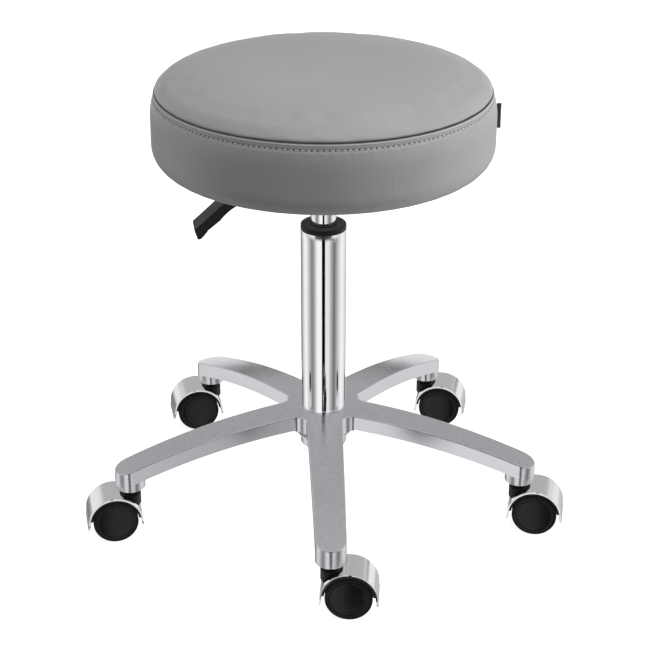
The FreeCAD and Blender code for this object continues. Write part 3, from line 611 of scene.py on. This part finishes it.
def studio():
    """White studio: soft light for the surfaces, and walls, gaps and cards for what shines."""
    world = bpy.data.worlds.new("studio")
    scene.world = world
    world.use_nodes = True
    tree = world.node_tree
    tree.nodes.clear()
    way = add(tree, "ShaderNodeTexCoord").outputs["Generated"]
    parts = add(tree, "ShaderNodeSeparateXYZ", in_0=way)
    angle = math_node(tree, "ARCTAN2", parts.outputs[1], parts.outputs[0])
    azimuth = math_node(tree, "MULTIPLY_ADD", angle, 1.0 / math.tau)
    azimuth.node.inputs[2].default_value = 0.5
    rise = parts.outputs[2]
    below = ring_of_light(tree, azimuth, [
        (-180, 0.86), (-151, 0.24), (-138, 0.42), (-122, 1.0), (-115, 1.08), (-98.6, 1.02), (-97.6, 0.0),
        (-82.4, 0.0), (-81.4, 0.9), (-65, 0.92), (-50, 0.45), (-34, 0.17), (-18, 0.5), (12, 1.05), (35, 0.9),
        (57, 0.62), (80, 0.5), (123, 0.22), (140, 0.6), (167, 1.1), (180, 0.86)])
    level = ring_of_light(tree, azimuth, [
        (-180, 0.7), (-140, 0.95), (-125, 0.12), (-90, 0.04), (-55, 0.12), (-40, 0.95), (0, 0.9), (50, 0.95), (130, 0.95), (150, 0.8),
        (180, 0.7)])
    behind = wall_of_light(tree, rise, [
        (-90, 0.9), (-12, 1.05), (-5.8, 1.05), (-5.2, 0.7), (-4.6, 1.1), (4.5, 1.1), (5.2, 0.02), (12, 0.02),
        (12.6, 0.56), (40, 0.5), (90, 0.6)])
    lower = add(tree, "ShaderNodeMix", data_type="RGBA", in_0=grade(tree, rise, -0.25, -0.12))
    tree.links.new(below, lower.inputs[6])
    tree.links.new(level, lower.inputs[7])
    sky = add(tree, "ShaderNodeMix", data_type="RGBA", in_0=grade(tree, rise, 0.30, 0.62))
    tree.links.new(lower.outputs[2], sky.inputs[6])
    upper = ring_of_light(tree, azimuth, [
        (-180, 0.6), (-125, 0.7), (-100, 1.0), (-97, 0.03), (-83, 0.03), (-80, 1.0), (-55, 0.7), (0, 0.6),
        (180, 0.6)])
    tree.links.new(upper, sky.inputs[7])
    sides = math_node(tree, "MULTIPLY", grade(tree, azimuth, 228 / 360, 240 / 360),
                      grade(tree, azimuth, 300 / 360, 312 / 360, 1.0, 0.0))
    high = add(tree, "ShaderNodeMix", data_type="RGBA",
               in_0=math_node(tree, "MULTIPLY", sides, grade(tree, rise, -0.30, -0.22)))
    tree.links.new(sky.outputs[2], high.inputs[6])
    tree.links.new(behind, high.inputs[7])
    mirrored = add(tree, "ShaderNodeBackground", in_0=high.outputs[2], in_1=1.0)
    soft = ring_of_light(tree, azimuth, [(-180, 1.0), (-135, 0.30), (-90, 0.06), (-55, 0.35), (-15, 2.3), (30, 2.3),
                                         (90, 1.0), (150, 1.0), (180, 1.0)])
    above = add(tree, "ShaderNodeMix", data_type="RGBA", in_0=grade(tree, rise, 0.1, 0.8))
    tree.links.new(soft, above.inputs[6])
    above.inputs[7].default_value = (0.85, 0.85, 0.855, 1.0)
    lit = add(tree, "ShaderNodeBackground", in_0=above.outputs[2], in_1=0.75)
    path = add(tree, "ShaderNodeLightPath")
    surface = add(tree, "ShaderNodeMixShader", in_0=path.outputs["Is Glossy Ray"])
    tree.links.new(lit.outputs[0], surface.inputs[1])
    tree.links.new(mirrored.outputs[0], surface.inputs[2])
    white = add(tree, "ShaderNodeBackground", in_0=(1.0, 1.0, 1.0, 1.0), in_1=1.0)
    seen = add(tree, "ShaderNodeMixShader", in_0=path.outputs["Is Camera Ray"])
    tree.links.new(surface.outputs[0], seen.inputs[1])
    tree.links.new(white.outputs[0], seen.inputs[2])
    output = add(tree, "ShaderNodeOutputWorld")
    tree.links.new(seen.outputs[0], output.inputs["Surface"])
    softbox("right softbox", (1.6, -0.5, 1.2), (0.0, 0.0, 0.4), 1.0, 1.4, 24.0)
    softbox("left softbox", (-1.9, -0.3, 0.9), (0.0, 0.0, 0.35), 0.8, 1.4, 4.0)
    softbox("overhead softbox", (0.1, -0.35, 1.6), (0.0, -0.1, 0.5), 0.9, 0.5, 7.0)
    scene.view_settings.view_transform = "Standard"


def floor():
    """Plain pale floor that glows a little, so that it stays even."""
    piece = start_from(bpy.ops.mesh.primitive_plane_add, "studio_floor", size=14.0)
    close_piece(piece, recalculate=False)
    finish = Finish("pale studio floor", rough=0.9, colour=(0.6, 0.6, 0.6))
    finish.shader.inputs["Emission Color"].default_value = (1.0, 1.0, 1.0, 1.0)
    finish.shader.inputs["Emission Strength"].default_value = 0.82
    finish.shader.inputs["Specular IOR Level"].default_value = 0.0
    piece.data.materials.append(finish.material)
    piece.visible_glossy = False
    piece.visible_diffuse = False


# ---- upholstery ----------------------------------------------------------------------

BAND_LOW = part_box("cover_band")[0][2] / MM
CROWN_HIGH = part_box("cover_top")[1][2] / MM
SEAT_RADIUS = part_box("cover_band")[1][0] / MM
SEAM_HIGH = 494.4
STITCH_HIGH = 487.9
STITCHES = 196
CREASE_DEPTH = 0.4


def settle(piece, held, pressure, limit):
    """Lets the cover swell under its filling, held at its sewn edges, and limits how far it moves."""
    rest = [vertex.co.copy() for vertex in piece.data.vertices]
    kept = piece.vertex_groups.new(name="sewn")
    kept.add([vertex.index for vertex in piece.data.vertices if held(vertex.co)], 1.0, "REPLACE")
    cloth = piece.modifiers.new("filling", "CLOTH")
    settings = cloth.settings
    settings.quality = 4
    settings.mass = 0.3
    settings.tension_stiffness = 25.0
    settings.compression_stiffness = 25.0
    settings.bending_stiffness = 2.0
    settings.vertex_group_mass = kept.name
    settings.use_pressure = True
    settings.uniform_pressure_force = pressure
    settings.effector_weights.gravity = 0.0
    cloth.point_cache.frame_end = 20
    for step in range(1, 21):
        scene.frame_set(step)
    apply_all(piece)
    for vertex, before in zip(piece.data.vertices, rest):
        moved = vertex.co - before
        if moved.length > limit:
            vertex.co = before + moved * (limit / moved.length)
    scene.frame_set(1)
    piece.vertex_groups.clear()


def polar_of(point):
    return math.hypot(point.x, point.y), math.atan2(point.y, point.x)


def pushed(point, amount):
    """A point moved away from the column's axis by an amount."""
    radius = math.hypot(point.x, point.y)
    return Vector((point.x * (1 + amount / radius), point.y * (1 + amount / radius), point.z))


def hump(value, middle, half):
    """A smooth hump of height 1 about the middle."""
    return math.exp(-((value - middle) / half) ** 2)


def top_panel(leather):
    """Crowned top panel whose edge rolls over into the seam."""
    shoulder = (160.0, 508.9)
    roll = [(173.2, 494.7), (174.6, 494.95), (175.6, 495.5), (176.2, 496.5)]
    profile = roll + arc(roll[-1], shoulder, 22.0, 7) + arc(shoulder, (60.0, CROWN_HIGH - 1.2), 480.0, 16)
    profile += line((60.0, CROWN_HIGH - 1.2), (0.0, CROWN_HIGH - 0.4), 10)
    piece = turned("top_panel", profile, 196)
    settle(piece, lambda point: point.z < 497.5 * MM, 2.5, 1.2 * MM)
    divide(piece)

    def drawn_in(point):
        """Faint pull towards each stitch near the seam, and an unevenness of the filling."""
        radius, angle = polar_of(point)
        near = hump(radius, 172 * MM, 9 * MM)
        ease = 0.12 * MM * near * math.sin(angle * 31.0 + 1.3 * math.sin(angle * 7.0))
        filling = 0.25 * MM * math.sin(point.x * 33.0 + 1.0) * math.sin(point.y * 29.0 + 0.4)
        return Vector((point.x, point.y, point.z + ease + filling * (1.0 - near) * min(1.0, radius / (20 * MM))))

    move_points(piece, drawn_in)
    smooth(piece, 60.0)
    finish_piece(piece, "seat", "grey_leatherette", leather, "cover_top")


def side_band(leather):
    """Side band: hem turned under the board, rounded foot, sewn channel and a folded upper edge."""
    foot = SEAT_RADIUS - 22.0
    profile = [(150.0, BAND_LOW), (153.5, BAND_LOW), (157.0, BAND_LOW), (foot, BAND_LOW)]
    profile += arc(profile[-1], (SEAT_RADIUS, BAND_LOW + 22.0), 22.0, 9)
    profile += line(profile[-1], (SEAT_RADIUS, 468.0), 7)
    side = arc(profile[-1], (176.3, 494.0), 70.0, 13)
    profile += side[:-1]
    profile += [(177.6, 492.4), (177.5, 493.2), (176.8, 493.8), (175.9, 493.95), (175.2, 493.9), (174.4, 494.0),
                (173.4, 494.4)]
    piece = turned("side_band", profile, 2 * STITCHES)
    settle(piece, lambda point: point.z > 484.0 * MM or point.z < BAND_LOW * MM + 0.2 * MM, 2.5, 1.0 * MM)
    divide(piece)
    creases = [(-68.5, 446, 12, 0.30), (-66.6, 452, 16, 0.42), (-64.9, 443, 11, 0.28), (-62.0, 470, 9, 0.22),
               (-73.4, 462, 10, 0.2), (-48.0, 449, 14, 0.2), (-121.0, 452, 12, 0.16), (24.0, 450, 14, 0.25),
               (64.0, 455, 15, 0.35), (66.4, 448, 12, 0.3), (121.0, 452, 14, 0.25), (172.0, 446, 12, 0.3)]

    def sewn(point):
        """Sewn channel, puckers between the needle holes, faint upright creases, and pleats in the hem."""
        radius, angle = polar_of(point)
        height = point.z / MM
        if height > 440.0:
            beat = 0.5 + 0.5 * math.cos(angle * STITCHES)
            change = -0.75 * hump(height, STITCH_HIGH, 1.5)
            change -= 0.30 * hump(height, STITCH_HIGH, 1.2) * beat
            change += 0.28 * hump(height, 490.9, 1.3) * (1.0 - 0.5 * beat)
            change += 0.14 * hump(height, STITCH_HIGH - 3.2, 2.0) * math.cos(angle * STITCHES * 0.5 + 3 * math.sin(9 * angle))
            change += 0.22 * math.sin(angle * 5.0 + 0.7) * hump(height, 462.0, 16.0)
        elif radius < (foot + 1.0) * MM:
            return Vector((point.x, point.y, point.z + 0.1 * MM * math.cos(angle * 52.0 + 2.0 * math.sin(angle * 11.0))))
        else:
            change = 0.12 * math.sin(angle * 43.0 + 2.0 * math.sin(angle * 5.0)) * hump(height, BAND_LOW + 6.0, 7.0)
        for azimuth, middle, half, depth in creases:
            away = math.degrees(math.remainder(angle - math.radians(azimuth), math.tau)) * 3.17
            lean = away - 0.06 * (height - middle)
            if abs(lean) < 6.0:
                change -= CREASE_DEPTH * depth * (hump(lean, 0.0, 1.1) - 0.45 * hump(lean, 2.4, 1.6)) * hump(height, middle, half)
        return pushed(point, change * MM)

    move_points(piece, sewn)
    smooth(piece, 60.0)
    finish_piece(piece, "seat", "grey_leatherette", leather, "cover_band")


def channel_radius():
    """Radius of the band's surface at the bottom of the sewn channel, in millimetres."""
    points = [(SEAT_RADIUS, 468.0)] + arc((SEAT_RADIUS, 468.0), (176.3, 494.0), 70.0, 26)
    nearest = min(points, key=lambda point: abs(point[1] - STITCH_HIGH))
    return nearest[0] - 0.95


def topstitching():
    """A ring of short stitches that dip into a needle hole at each end."""
    radius = channel_radius()
    piece = start_from(bpy.ops.mesh.primitive_uv_sphere_add, "topstitching", segments=8, ring_count=6, radius=0.5 * MM)
    bpy.ops.transform.resize(value=(0.9, 4.7, 0.95))
    bpy.ops.transform.rotate(value=math.radians(-7.0), orient_axis="X", center_override=(0, 0, 0))
    bpy.ops.transform.translate(value=Vector((radius + 0.55, 0, STITCH_HIGH)) * MM)
    half_pitch = math.pi / STITCHES
    bpy.ops.transform.rotate(value=-half_pitch, orient_axis="Z", center_override=(0, 0, 0))
    bpy.ops.mesh.spin(steps=STITCHES, angle=math.tau, center=(0, 0, 0), axis=(0, 0, 1), dupli=True)
    close_piece(piece)
    smooth(piece, 80.0)
    finish_piece(piece, "seat", "grey_leatherette", sewing_thread())


def needle_holes():
    """Small shallow pits between the stitches, coloured near black as painted shade for the depth of the holes."""
    radius = channel_radius()
    piece = start_from(bpy.ops.mesh.primitive_circle_add, "needle_holes", vertices=8, radius=1.0 * MM,
                       fill_type="NGON")
    bpy.ops.transform.rotate(value=math.radians(90.0), orient_axis="Y", center_override=(0, 0, 0))
    bpy.ops.mesh.inset(thickness=0.3 * MM, depth=-0.25 * MM)
    bpy.ops.mesh.select_all(action="SELECT")
    bpy.ops.transform.translate(value=Vector((radius + 0.1, 0, STITCH_HIGH)) * MM)
    bpy.ops.mesh.spin(steps=STITCHES, angle=math.tau, center=(0, 0, 0), axis=(0, 0, 1), dupli=True)
    bpy.ops.mesh.select_all(action="SELECT")
    bpy.ops.mesh.remove_doubles(threshold=0.002 * MM)
    bpy.ops.object.mode_set(mode="OBJECT")
    finish_piece(piece, "seat", "grey_leatherette", needle_hole_painted_shade())


def foam_pad():
    """Foam filling, a little inside the covers, open below for the board."""
    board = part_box("seat_board")
    edge = board[1][0] / MM
    top = board[1][2] / MM
    inner, side, foot = 1.9, SEAT_RADIUS - 2.4, BAND_LOW + 10.0
    profile = [(0.0, top + 0.4), (edge + 0.8, top + 0.4), (edge + 0.8, foot)]
    profile += [(edge + 9.0, foot)] + arc((edge + 9.0, foot), (side, BAND_LOW + 24.0), 21.0, 6)
    profile += line(profile[-1], (side, 468.0), 4) + arc((side, 468.0), (172.6, 491.0), 70.0, 6)
    profile += arc(profile[-1], (157.5, 507.0), 22.0, 6)
    profile += arc(profile[-1], (60.0, CROWN_HIGH - inner - 2.0), 480.0, 12)
    profile += line(profile[-1], (0.0, CROWN_HIGH - inner - 1.6), 6)
    piece = turned("foam_pad", profile, 128)
    move_points(piece, lambda point: Vector((point.x, point.y, point.z + 0.15 * MM * math.sin(point.x * 90.0) * math.sin(point.y * 80.0))))
    smooth(piece, 45.0)
    finish_piece(piece, "seat", "foam", foam_yellow(), "seat_foam")


def dust_cover():
    """Thin black cloth stapled over the underside, its rim drawn in between the staples."""
    low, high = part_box("bottom_cover")
    radius = high[0] / MM
    middle = (low[2] + high[2]) / 2 / MM
    profile = [(0.0, middle)] + line((0.0, middle), (radius - 7.0, middle), 22) + line((radius - 7.0, middle), (radius, middle), 5)
    piece = turned("dust_cover", profile, 240)

    def pulled(point):
        reach, angle = polar_of(point)
        rim = hump(reach, 153 * MM, 12 * MM)
        pucker = 0.10 * MM * rim * math.cos(20.0 * (angle - math.radians(3.0)))
        slack = 0.12 * MM * math.sin(point.x * 61.0 + 0.5) * math.sin(point.y * 53.0) * min(1.0, reach / (25 * MM))
        return Vector((point.x, point.y, point.z + pucker + slack * (1.0 - rim)))

    move_points(piece, pulled)
    thickness = piece.modifiers.new("cloth thickness", "SOLIDIFY")
    thickness.thickness = 0.25 * MM
    thickness.offset = 0.0
    apply_all(piece)
    smooth(piece, 60.0)
    finish_piece(piece, "seat", "dust_cloth", dust_cloth(), "bottom_cover")


def side_tag():
    """Folded ribbon caught in the side of the band."""
    low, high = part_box("side_tag")
    reach = high[0] - 0.35 * MM
    root = 180.2 * MM
    half = 0.62 * MM
    piece = start_from(bpy.ops.mesh.primitive_plane_add, "ribbon_tag", size=MM)
    bpy.ops.mesh.merge(type="CENTER")
    bpy.ops.transform.translate(value=(root, -half * 0.6, low[2]))
    way = [(reach - 1.4 * MM, -half), (reach - 0.5 * MM, -half * 0.9), (reach, 0.0), (reach - 0.5 * MM, half * 0.9),
           (reach - 1.4 * MM, half), (root, half * 0.6)]
    before = Vector((root, -half * 0.6))
    for spot in way:
        step = Vector(spot) - before
        bpy.ops.mesh.extrude_vertices_move(TRANSFORM_OT_translate={"value": (step.x, step.y, 0)})
        before = Vector(spot)
    bpy.ops.mesh.select_all(action="SELECT")
    rows = 9
    for row in range(rows):
        bpy.ops.mesh.extrude_region_move(TRANSFORM_OT_translate={"value": (0, 0, (high[2] - low[2]) / rows)})
    close_piece(piece)
    middle = (low[2] + high[2]) / 2
    move_points(piece, lambda point: Vector((point.x - 0.25 * MM * (1 - ((point.z - middle) / (13.5 * MM)) ** 2) * (point.x > reach - 2 * MM),
                                             point.y + 0.35 * MM * math.sin((point.z - middle) * 150.0), point.z)))
    thickness = piece.modifiers.new("ribbon thickness", "SOLIDIFY")
    thickness.thickness = 0.42 * MM
    thickness.offset = 0.0
    surface = piece.modifiers.new("soft folds", "SUBSURF")
    surface.levels = 2
    surface.render_levels = 2
    apply_all(piece)
    smooth(piece, 50.0)
    settled_at(piece, Matrix.Rotation(math.radians(-3.0), 4, "Z"))
    finish_piece(piece, "seat", "dark_ribbon", ribbon(), "side_tag")


# ---- gas lift ------------------------------------------------------------------------

def gas_lift(shiny, plastic, zinc_plate):
    """Outer tube with its rolled rim, collar, inner cylinder and the collar's rivet."""
    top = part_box("column_tube")[1][2] / MM
    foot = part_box("column_tube")[0][2] / MM
    profile = [(21.9, foot), (23.0, foot), (23.4, foot + 0.5), (24.1, 112.0), (24.1, 122.7), (24.52, 123.4)]
    profile += line((24.52, 123.4), (25.0, 190.0), 8) + line((25.0, 190.0), (25.0, top - 0.6), 12)
    profile += [(24.85, top - 0.15), (24.5, top), (23.6, top), (23.5, top - 0.4), (23.5, 190.0), (23.0, 122.0), (21.9, foot)]
    piece = turned("lift_outer_tube", profile, 192)
    smooth(piece, 30.0)
    finish_piece(piece, "base", "chrome", shiny, "column_tube")

    collar_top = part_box("column_collar")[1][2] / MM
    profile = [(14.08, top + 0.05), (24.7, top + 0.05), (25.0, top + 0.35), (25.0, collar_top - 1.3)]
    profile += arc((25.0, collar_top - 1.3), (23.7, collar_top), 1.3, 5)
    profile += [(19.5, collar_top), (19.2, collar_top - 0.3), (18.4, collar_top - 0.3), (18.1, collar_top),
                (16.2, collar_top), (15.6, collar_top - 0.4), (14.08, collar_top - 2.0), (14.08, top + 0.05)]
    piece = turned("tube_collar", profile, 128)
    smooth(piece, 35.0)
    finish_piece(piece, "base", "black_plastic", plastic, "column_collar")

    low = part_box("lift_cylinder")[0][2] / MM
    cone_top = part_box("lift_cylinder")[1][2] / MM
    profile = [(12.2, low), (13.7, low), (14.0, low + 0.4)] + line((14.0, low + 0.4), (14.0, 366.0), 10)
    profile += [(13.62, cone_top - 0.4), (13.3, cone_top), (12.2, cone_top), (12.2, low)]
    piece = turned("lift_inner_tube", profile, 128)
    smooth(piece, 30.0)
    finish_piece(piece, "seat", "chrome", shiny, "lift_cylinder")

    piece = from_node("collar_rivet", "sleeve_rivet")
    smooth(piece, 40.0)
    finish_piece(piece, "base", "zinc_steel", zinc_plate, "collar_rivet")


# ---- five-arm base -------------------------------------------------------------------

def star(aluminium):
    """The casting, with its corners joined and its long faces shaded whole."""
    piece = from_node("star_base", "star_casting")
    smooth(piece, 32.0)
    weighted = piece.modifiers.new("face weighted shading", "WEIGHTED_NORMAL")
    weighted.keep_sharp = True
    apply_all(piece)
    finish_piece(piece, "base", "cast_aluminium", aluminium, "star_base")


# ---- casters -------------------------------------------------------------------------



def joint_named(name):
    return [joint for joint in frame["joints"] if joint["name"] == name][0]


STEM_SPOT = Vector(joint_named("caster_swivel_1")["pos_m"])
AXLE_SPOT = Vector(joint_named("wheel_left_spin_1")["pos_m"])
TRAIL = (AXLE_SPOT - STEM_SPOT).xy.length / MM
AXLE_HIGH = AXLE_SPOT.z / MM


def caster_place(number):
    """Where caster number stands and which way it points: its stem is the pattern's origin, its wheels towards +X."""
    stem = Vector(joint_named("caster_swivel_%d" % number)["pos_m"])
    axle = Vector(joint_named("wheel_left_spin_%d" % number)["pos_m"])
    heading = math.atan2(axle.y - stem.y, axle.x - stem.x)
    return Matrix.Translation((stem.x, stem.y, 0.0)) @ Matrix.Rotation(heading, 4, "Z")


def hood_pattern():
    """Plated arch over both wheels, with drawn-out tips and an opening round the stem."""
    outer, wall, half = 30.4, 2.4, 20.6
    section = [(outer - wall, -half + 0.5), (outer - wall, half - 0.5), (outer - wall + 0.5, half), (outer - 0.6, half),
               (outer, half - 0.6), (outer, -half + 0.6), (outer - 0.6, -half), (outer - wall + 0.5, -half)]
    piece = start_from(bpy.ops.mesh.primitive_plane_add, "hood_pattern", size=MM)
    bpy.ops.mesh.merge(type="CENTER")
    spots = [Vector((TRAIL + reach, across, AXLE_HIGH)) * MM for reach, across in section]
    bpy.ops.transform.translate(value=spots[0])
    for before, after in zip(spots, spots[1:] + spots[:1]):
        bpy.ops.mesh.extrude_vertices_move(TRANSFORM_OT_translate={"value": after - before})
    bpy.ops.mesh.select_all(action="SELECT")
    bpy.ops.mesh.remove_doubles(threshold=0.002 * MM)
    bpy.ops.mesh.spin(steps=64, angle=math.pi, center=Vector((TRAIL, 0, AXLE_HIGH)) * MM, axis=(0, 1, 0))
    bpy.ops.object.mode_set(mode="OBJECT")
    for side in (-1, 1):
        bpy.ops.object.mode_set(mode="EDIT")
        bpy.ops.mesh.select_all(action="DESELECT")
        bpy.ops.object.mode_set(mode="OBJECT")
        for edge in piece.data.edges:
            ends = [piece.data.vertices[index].co for index in edge.vertices]
            at_end = all(abs(end.z / MM - AXLE_HIGH) < 0.01 and (end.x / MM - TRAIL) * side > 0 for end in ends)
            edge.select = at_end
        bpy.ops.object.mode_set(mode="EDIT")
        bpy.ops.mesh.select_mode(type="EDGE")
        steps = [(0.45, -4.4, 30.4, (0.92, 0.985, 1.0)), (0.45, -3.2, 30.9, (0.6, 0.96, 1.0)),
                 (0.0, -0.4, 31.1, (0.4, 0.97, 1.0))]
        height = AXLE_HIGH
        for out, down, reach, shrink in steps:
            height += down
            bpy.ops.mesh.extrude_region_move(TRANSFORM_OT_translate={"value": Vector((out * side, 0, down)) * MM})
            centre = Vector((TRAIL + reach * side, 0, height)) * MM
            bpy.ops.transform.resize(value=shrink, center_override=centre)
        bpy.ops.mesh.edge_face_add()
        bpy.ops.mesh.select_mode(type="VERT")
        bpy.ops.object.mode_set(mode="OBJECT")
    bpy.ops.object.mode_set(mode="EDIT")
    close_piece(piece)
    cutter = start_from(bpy.ops.mesh.primitive_cube_add, "hood_opening", size=1.0)
    bpy.ops.transform.resize(value=Vector((21.0, 36.0, 60.0)) * MM)
    bpy.ops.transform.translate(value=Vector((2.5, 0, 62.0)) * MM)
    bpy.ops.object.mode_set(mode="OBJECT")
    for edge in cutter.data.edges:
        ends = [cutter.data.vertices[index].co for index in edge.vertices]
        edge.select = abs(ends[0].z - ends[1].z) > 30 * MM
    bpy.ops.object.mode_set(mode="EDIT")
    bpy.ops.mesh.select_mode(type="EDGE")
    bpy.ops.mesh.bevel(offset=9.0 * MM, segments=8)
    bpy.ops.mesh.select_mode(type="VERT")
    close_piece(cutter)
    opening = piece.modifiers.new("opening", "BOOLEAN")
    opening.operation = "DIFFERENCE"
    opening.solver = "EXACT"
    opening.object = cutter
    apply_all(piece)
    drop(cutter)
    smooth(piece, 30.0)
    soft_edges(piece, 0.35 * MM, 2, 50.0)
    return piece


def caster_body_pattern():
    """Black moulding of the first caster, brought back to the pattern's place."""
    piece = from_node("caster_body_1", "caster_body_pattern")
    settled_at(piece, caster_place(1).inverted())
    smooth(piece, 30.0)
    soft_edges(piece, 0.35 * MM, 2, 40.0)
    return piece


def wheel_pattern():
    """Tread and rim of one wheel, turned about its axle; heights are distances from the caster's middle."""
    profile = [(3.05, 5.6), (6.0, 5.6), (6.5, 6.1), (6.5, 12.0), (20.0, 12.0), (20.5, 11.5), (20.5, 8.4), (20.9, 8.0), (23.5, 8.0)]
    profile += arc((23.5, 8.0), (25.0, 9.5), 1.5, 5) + line((25.0, 9.5), (25.0, 18.0), 3)
    profile += arc((25.0, 18.0), (23.5, 19.5), 1.5, 5)
    profile += [(23.2, 19.5), (22.85, 19.3), (22.8, 18.9), (22.8, 16.5), (3.05, 16.5), (3.05, 5.6)]
    piece = turned("wheel_pattern", profile, 96)
    smooth(piece, 35.0)
    return piece


def cap_pattern():
    """Pressed-in domed cap with its raised rim and ring groove."""
    profile = [(0.0, 16.6), (22.65, 16.6), (22.65, 18.7)]
    profile += arc((22.65, 18.7), (21.8, 19.55), 0.85, 4)
    profile += [(21.0, 19.65), (20.4, 19.6), (20.05, 19.3), (19.75, 19.2), (19.45, 19.35), (19.1, 19.72), (18.6, 19.82)]
    profile += arc((18.6, 19.82), (2.0, 20.7), 170.0, 12) + [(0.0, 20.72)]
    piece = turned("cap_pattern", profile, 96)
    smooth(piece, 30.0)
    return piece


def axle_pattern():
    """Plated axle pin with chamfered ends."""
    profile = [(0.0, -16.3), (2.5, -16.3), (3.0, -15.8), (3.0, -6.2), (2.85, -6.0), (2.85, -5.4), (3.0, -5.2),
               (3.0, 15.8), (2.5, 16.3), (0.0, 16.3)]
    piece = turned("axle_pattern", profile, 48)
    smooth(piece, 35.0)
    return piece


def casters(plated, body_plastic, wheel_black, cap_black, zinc_plate):
    """Five twin-wheel casters from one pattern of each piece."""
    hood, body = hood_pattern(), caster_body_pattern()
    wheel, cap, axle = wheel_pattern(), cap_pattern(), axle_pattern()
    for number in range(1, 6):
        place = caster_place(number)
        rides_on = "caster_%d" % number
        shell = copy_to(hood, "hood_%d" % number, place)
        finish_piece(shell, rides_on, "chrome_hood", plated, "caster_hood_%d" % number)
        block = copy_to(body, "fork_%d" % number, place)
        finish_piece(block, rides_on, "black_plastic", body_plastic, "caster_body_%d" % number)
        middle = place @ Matrix.Translation(Vector((TRAIL, 0, AXLE_HIGH)) * MM)
        pin = copy_to(axle, "axle_%d" % number, middle @ Matrix.Rotation(math.radians(-90), 4, "X"))
        finish_piece(pin, rides_on, "zinc_steel", zinc_plate, "caster_axle_%d" % number)
        for side, turn in (("left", -90), ("right", 90)):
            facing = middle @ Matrix.Rotation(math.radians(turn), 4, "X")
            rolls_on = "wheel_%s_%d" % (side, number)
            rim = copy_to(wheel, "tread_%s_%d" % (side, number), facing)
            finish_piece(rim, rolls_on, "wheel_nylon", wheel_black, rolls_on)
            cover = copy_to(cap, "cap_%s_%d" % (side, number), facing)
            finish_piece(cover, rolls_on, "wheel_nylon", cap_black)
    for pattern in (hood, body, wheel, cap, axle):
        drop(pattern)


# ---- seat hardware and lever ---------------------------------------------------------

def hardware(zinc_plate, black_paint, plastic, wood, bump_rubber, shiny):
    """The remaining metal, wood and plastic pieces: their own shapes with joined corners and eased edges."""
    plan = [
        ("seat_plate", "mounting_plate", "seat", "black_painted_steel", black_paint, 0.3),
        ("cone_socket", "lift_socket", "seat", "black_painted_steel", black_paint, 0.3),
        ("lever_bracket", "lever_ears", "seat", "black_painted_steel", black_paint, 0.3),
        ("lever_pivot_pin", "pivot_pin", "seat", "zinc_steel", zinc_plate, 0.3),
        ("plate_screws", "plate_bolts", "seat", "zinc_steel", zinc_plate, 0.2),
        ("tee_nuts", "board_nuts", "seat", "zinc_steel", zinc_plate, 0.15),
        ("staples", "cover_staples", "seat", "zinc_steel", zinc_plate, 0.08),
        ("seat_board", "plywood_board", "seat", "plywood", wood, 0.6),
        ("lever_arm", "lever_bar", "lever", "zinc_steel", zinc_plate, 0.3),
        ("lever_paddle", "release_paddle", "lever", "black_plastic", plastic, 0.7),
        ("valve_body", "lift_valve", "seat", "zinc_steel", zinc_plate, 0.2),
        ("cylinder_gland", "lift_gland", "seat", "black_plastic", plastic, 0.2),
        ("release_button", "lift_button", "release_button", "zinc_steel", zinc_plate, 0.2),
        ("guide_sleeve", "lift_sleeve", "base", "black_plastic", plastic, 0.2),
        ("tube_end_plate", "tube_end", "base", "zinc_steel", zinc_plate, 0.2),
        ("caster_stems", "stems", "base", "zinc_steel", zinc_plate, 0.2),
        ("stem_grip_rings", "grip_rings", "base", "zinc_steel", zinc_plate, 0.1),
        ("piston_rod", "lift_rod", "piston_rod", "chrome", shiny, 0.2),
        ("rod_clip", "rod_retainer", "piston_rod", "zinc_steel", zinc_plate, 0.15),
        ("thrust_bearing", "bottom_bearing", "piston_rod", "zinc_steel", zinc_plate, 0.3),
        ("bump_stop", "rubber_stop", "piston_rod", "rubber", bump_rubber, 0.6),
        ("piston", "lift_piston", "piston_rod", "rubber", bump_rubber, 0.2),
    ]
    for node, name, body, slot, material, edge in plan:
        piece = from_node(node, name)
        smooth(piece, 35.0)
        soft_edges(piece, edge * MM, 2, 40.0)
        finish_piece(piece, body, slot, material, node)


# ---- the stool -----------------------------------------------------------------------

camera()
studio()
floor()
leather = leatherette("grey imitation leather", SEAM_HIGH * MM)
top_panel(leather)
side_band(leather)
topstitching()
needle_holes()
foam_pad()
dust_cover()
side_tag()
bright = chrome("bright chrome", (0.86, 0.865, 0.875), 0.05, 0.02)
plated = chrome("plated hood", (0.80, 0.80, 0.80), 0.05, 0.01)
zinc_plate = zinc()
moulding = moulded_black("black moulding", (0.010, 0.010, 0.011), 0.45, 0.25)
lever_plastic = moulded_black("black lever plastic", (0.017, 0.017, 0.019), 0.5, 0.4, 1100.0)
wheel_black = moulded_black("black wheel nylon", (0.006, 0.006, 0.007), 0.35, 0.12)
cap_black = moulded_black("black cap", (0.008, 0.008, 0.009), 0.2, 0.06)
gas_lift(bright, moulding, zinc_plate)
star(cast_aluminium())
casters(plated, moulding, wheel_black, cap_black, zinc_plate)
hardware(zinc_plate, painted_steel(), lever_plastic, plywood(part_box("seat_board")[0][2]), rubber(), bright)
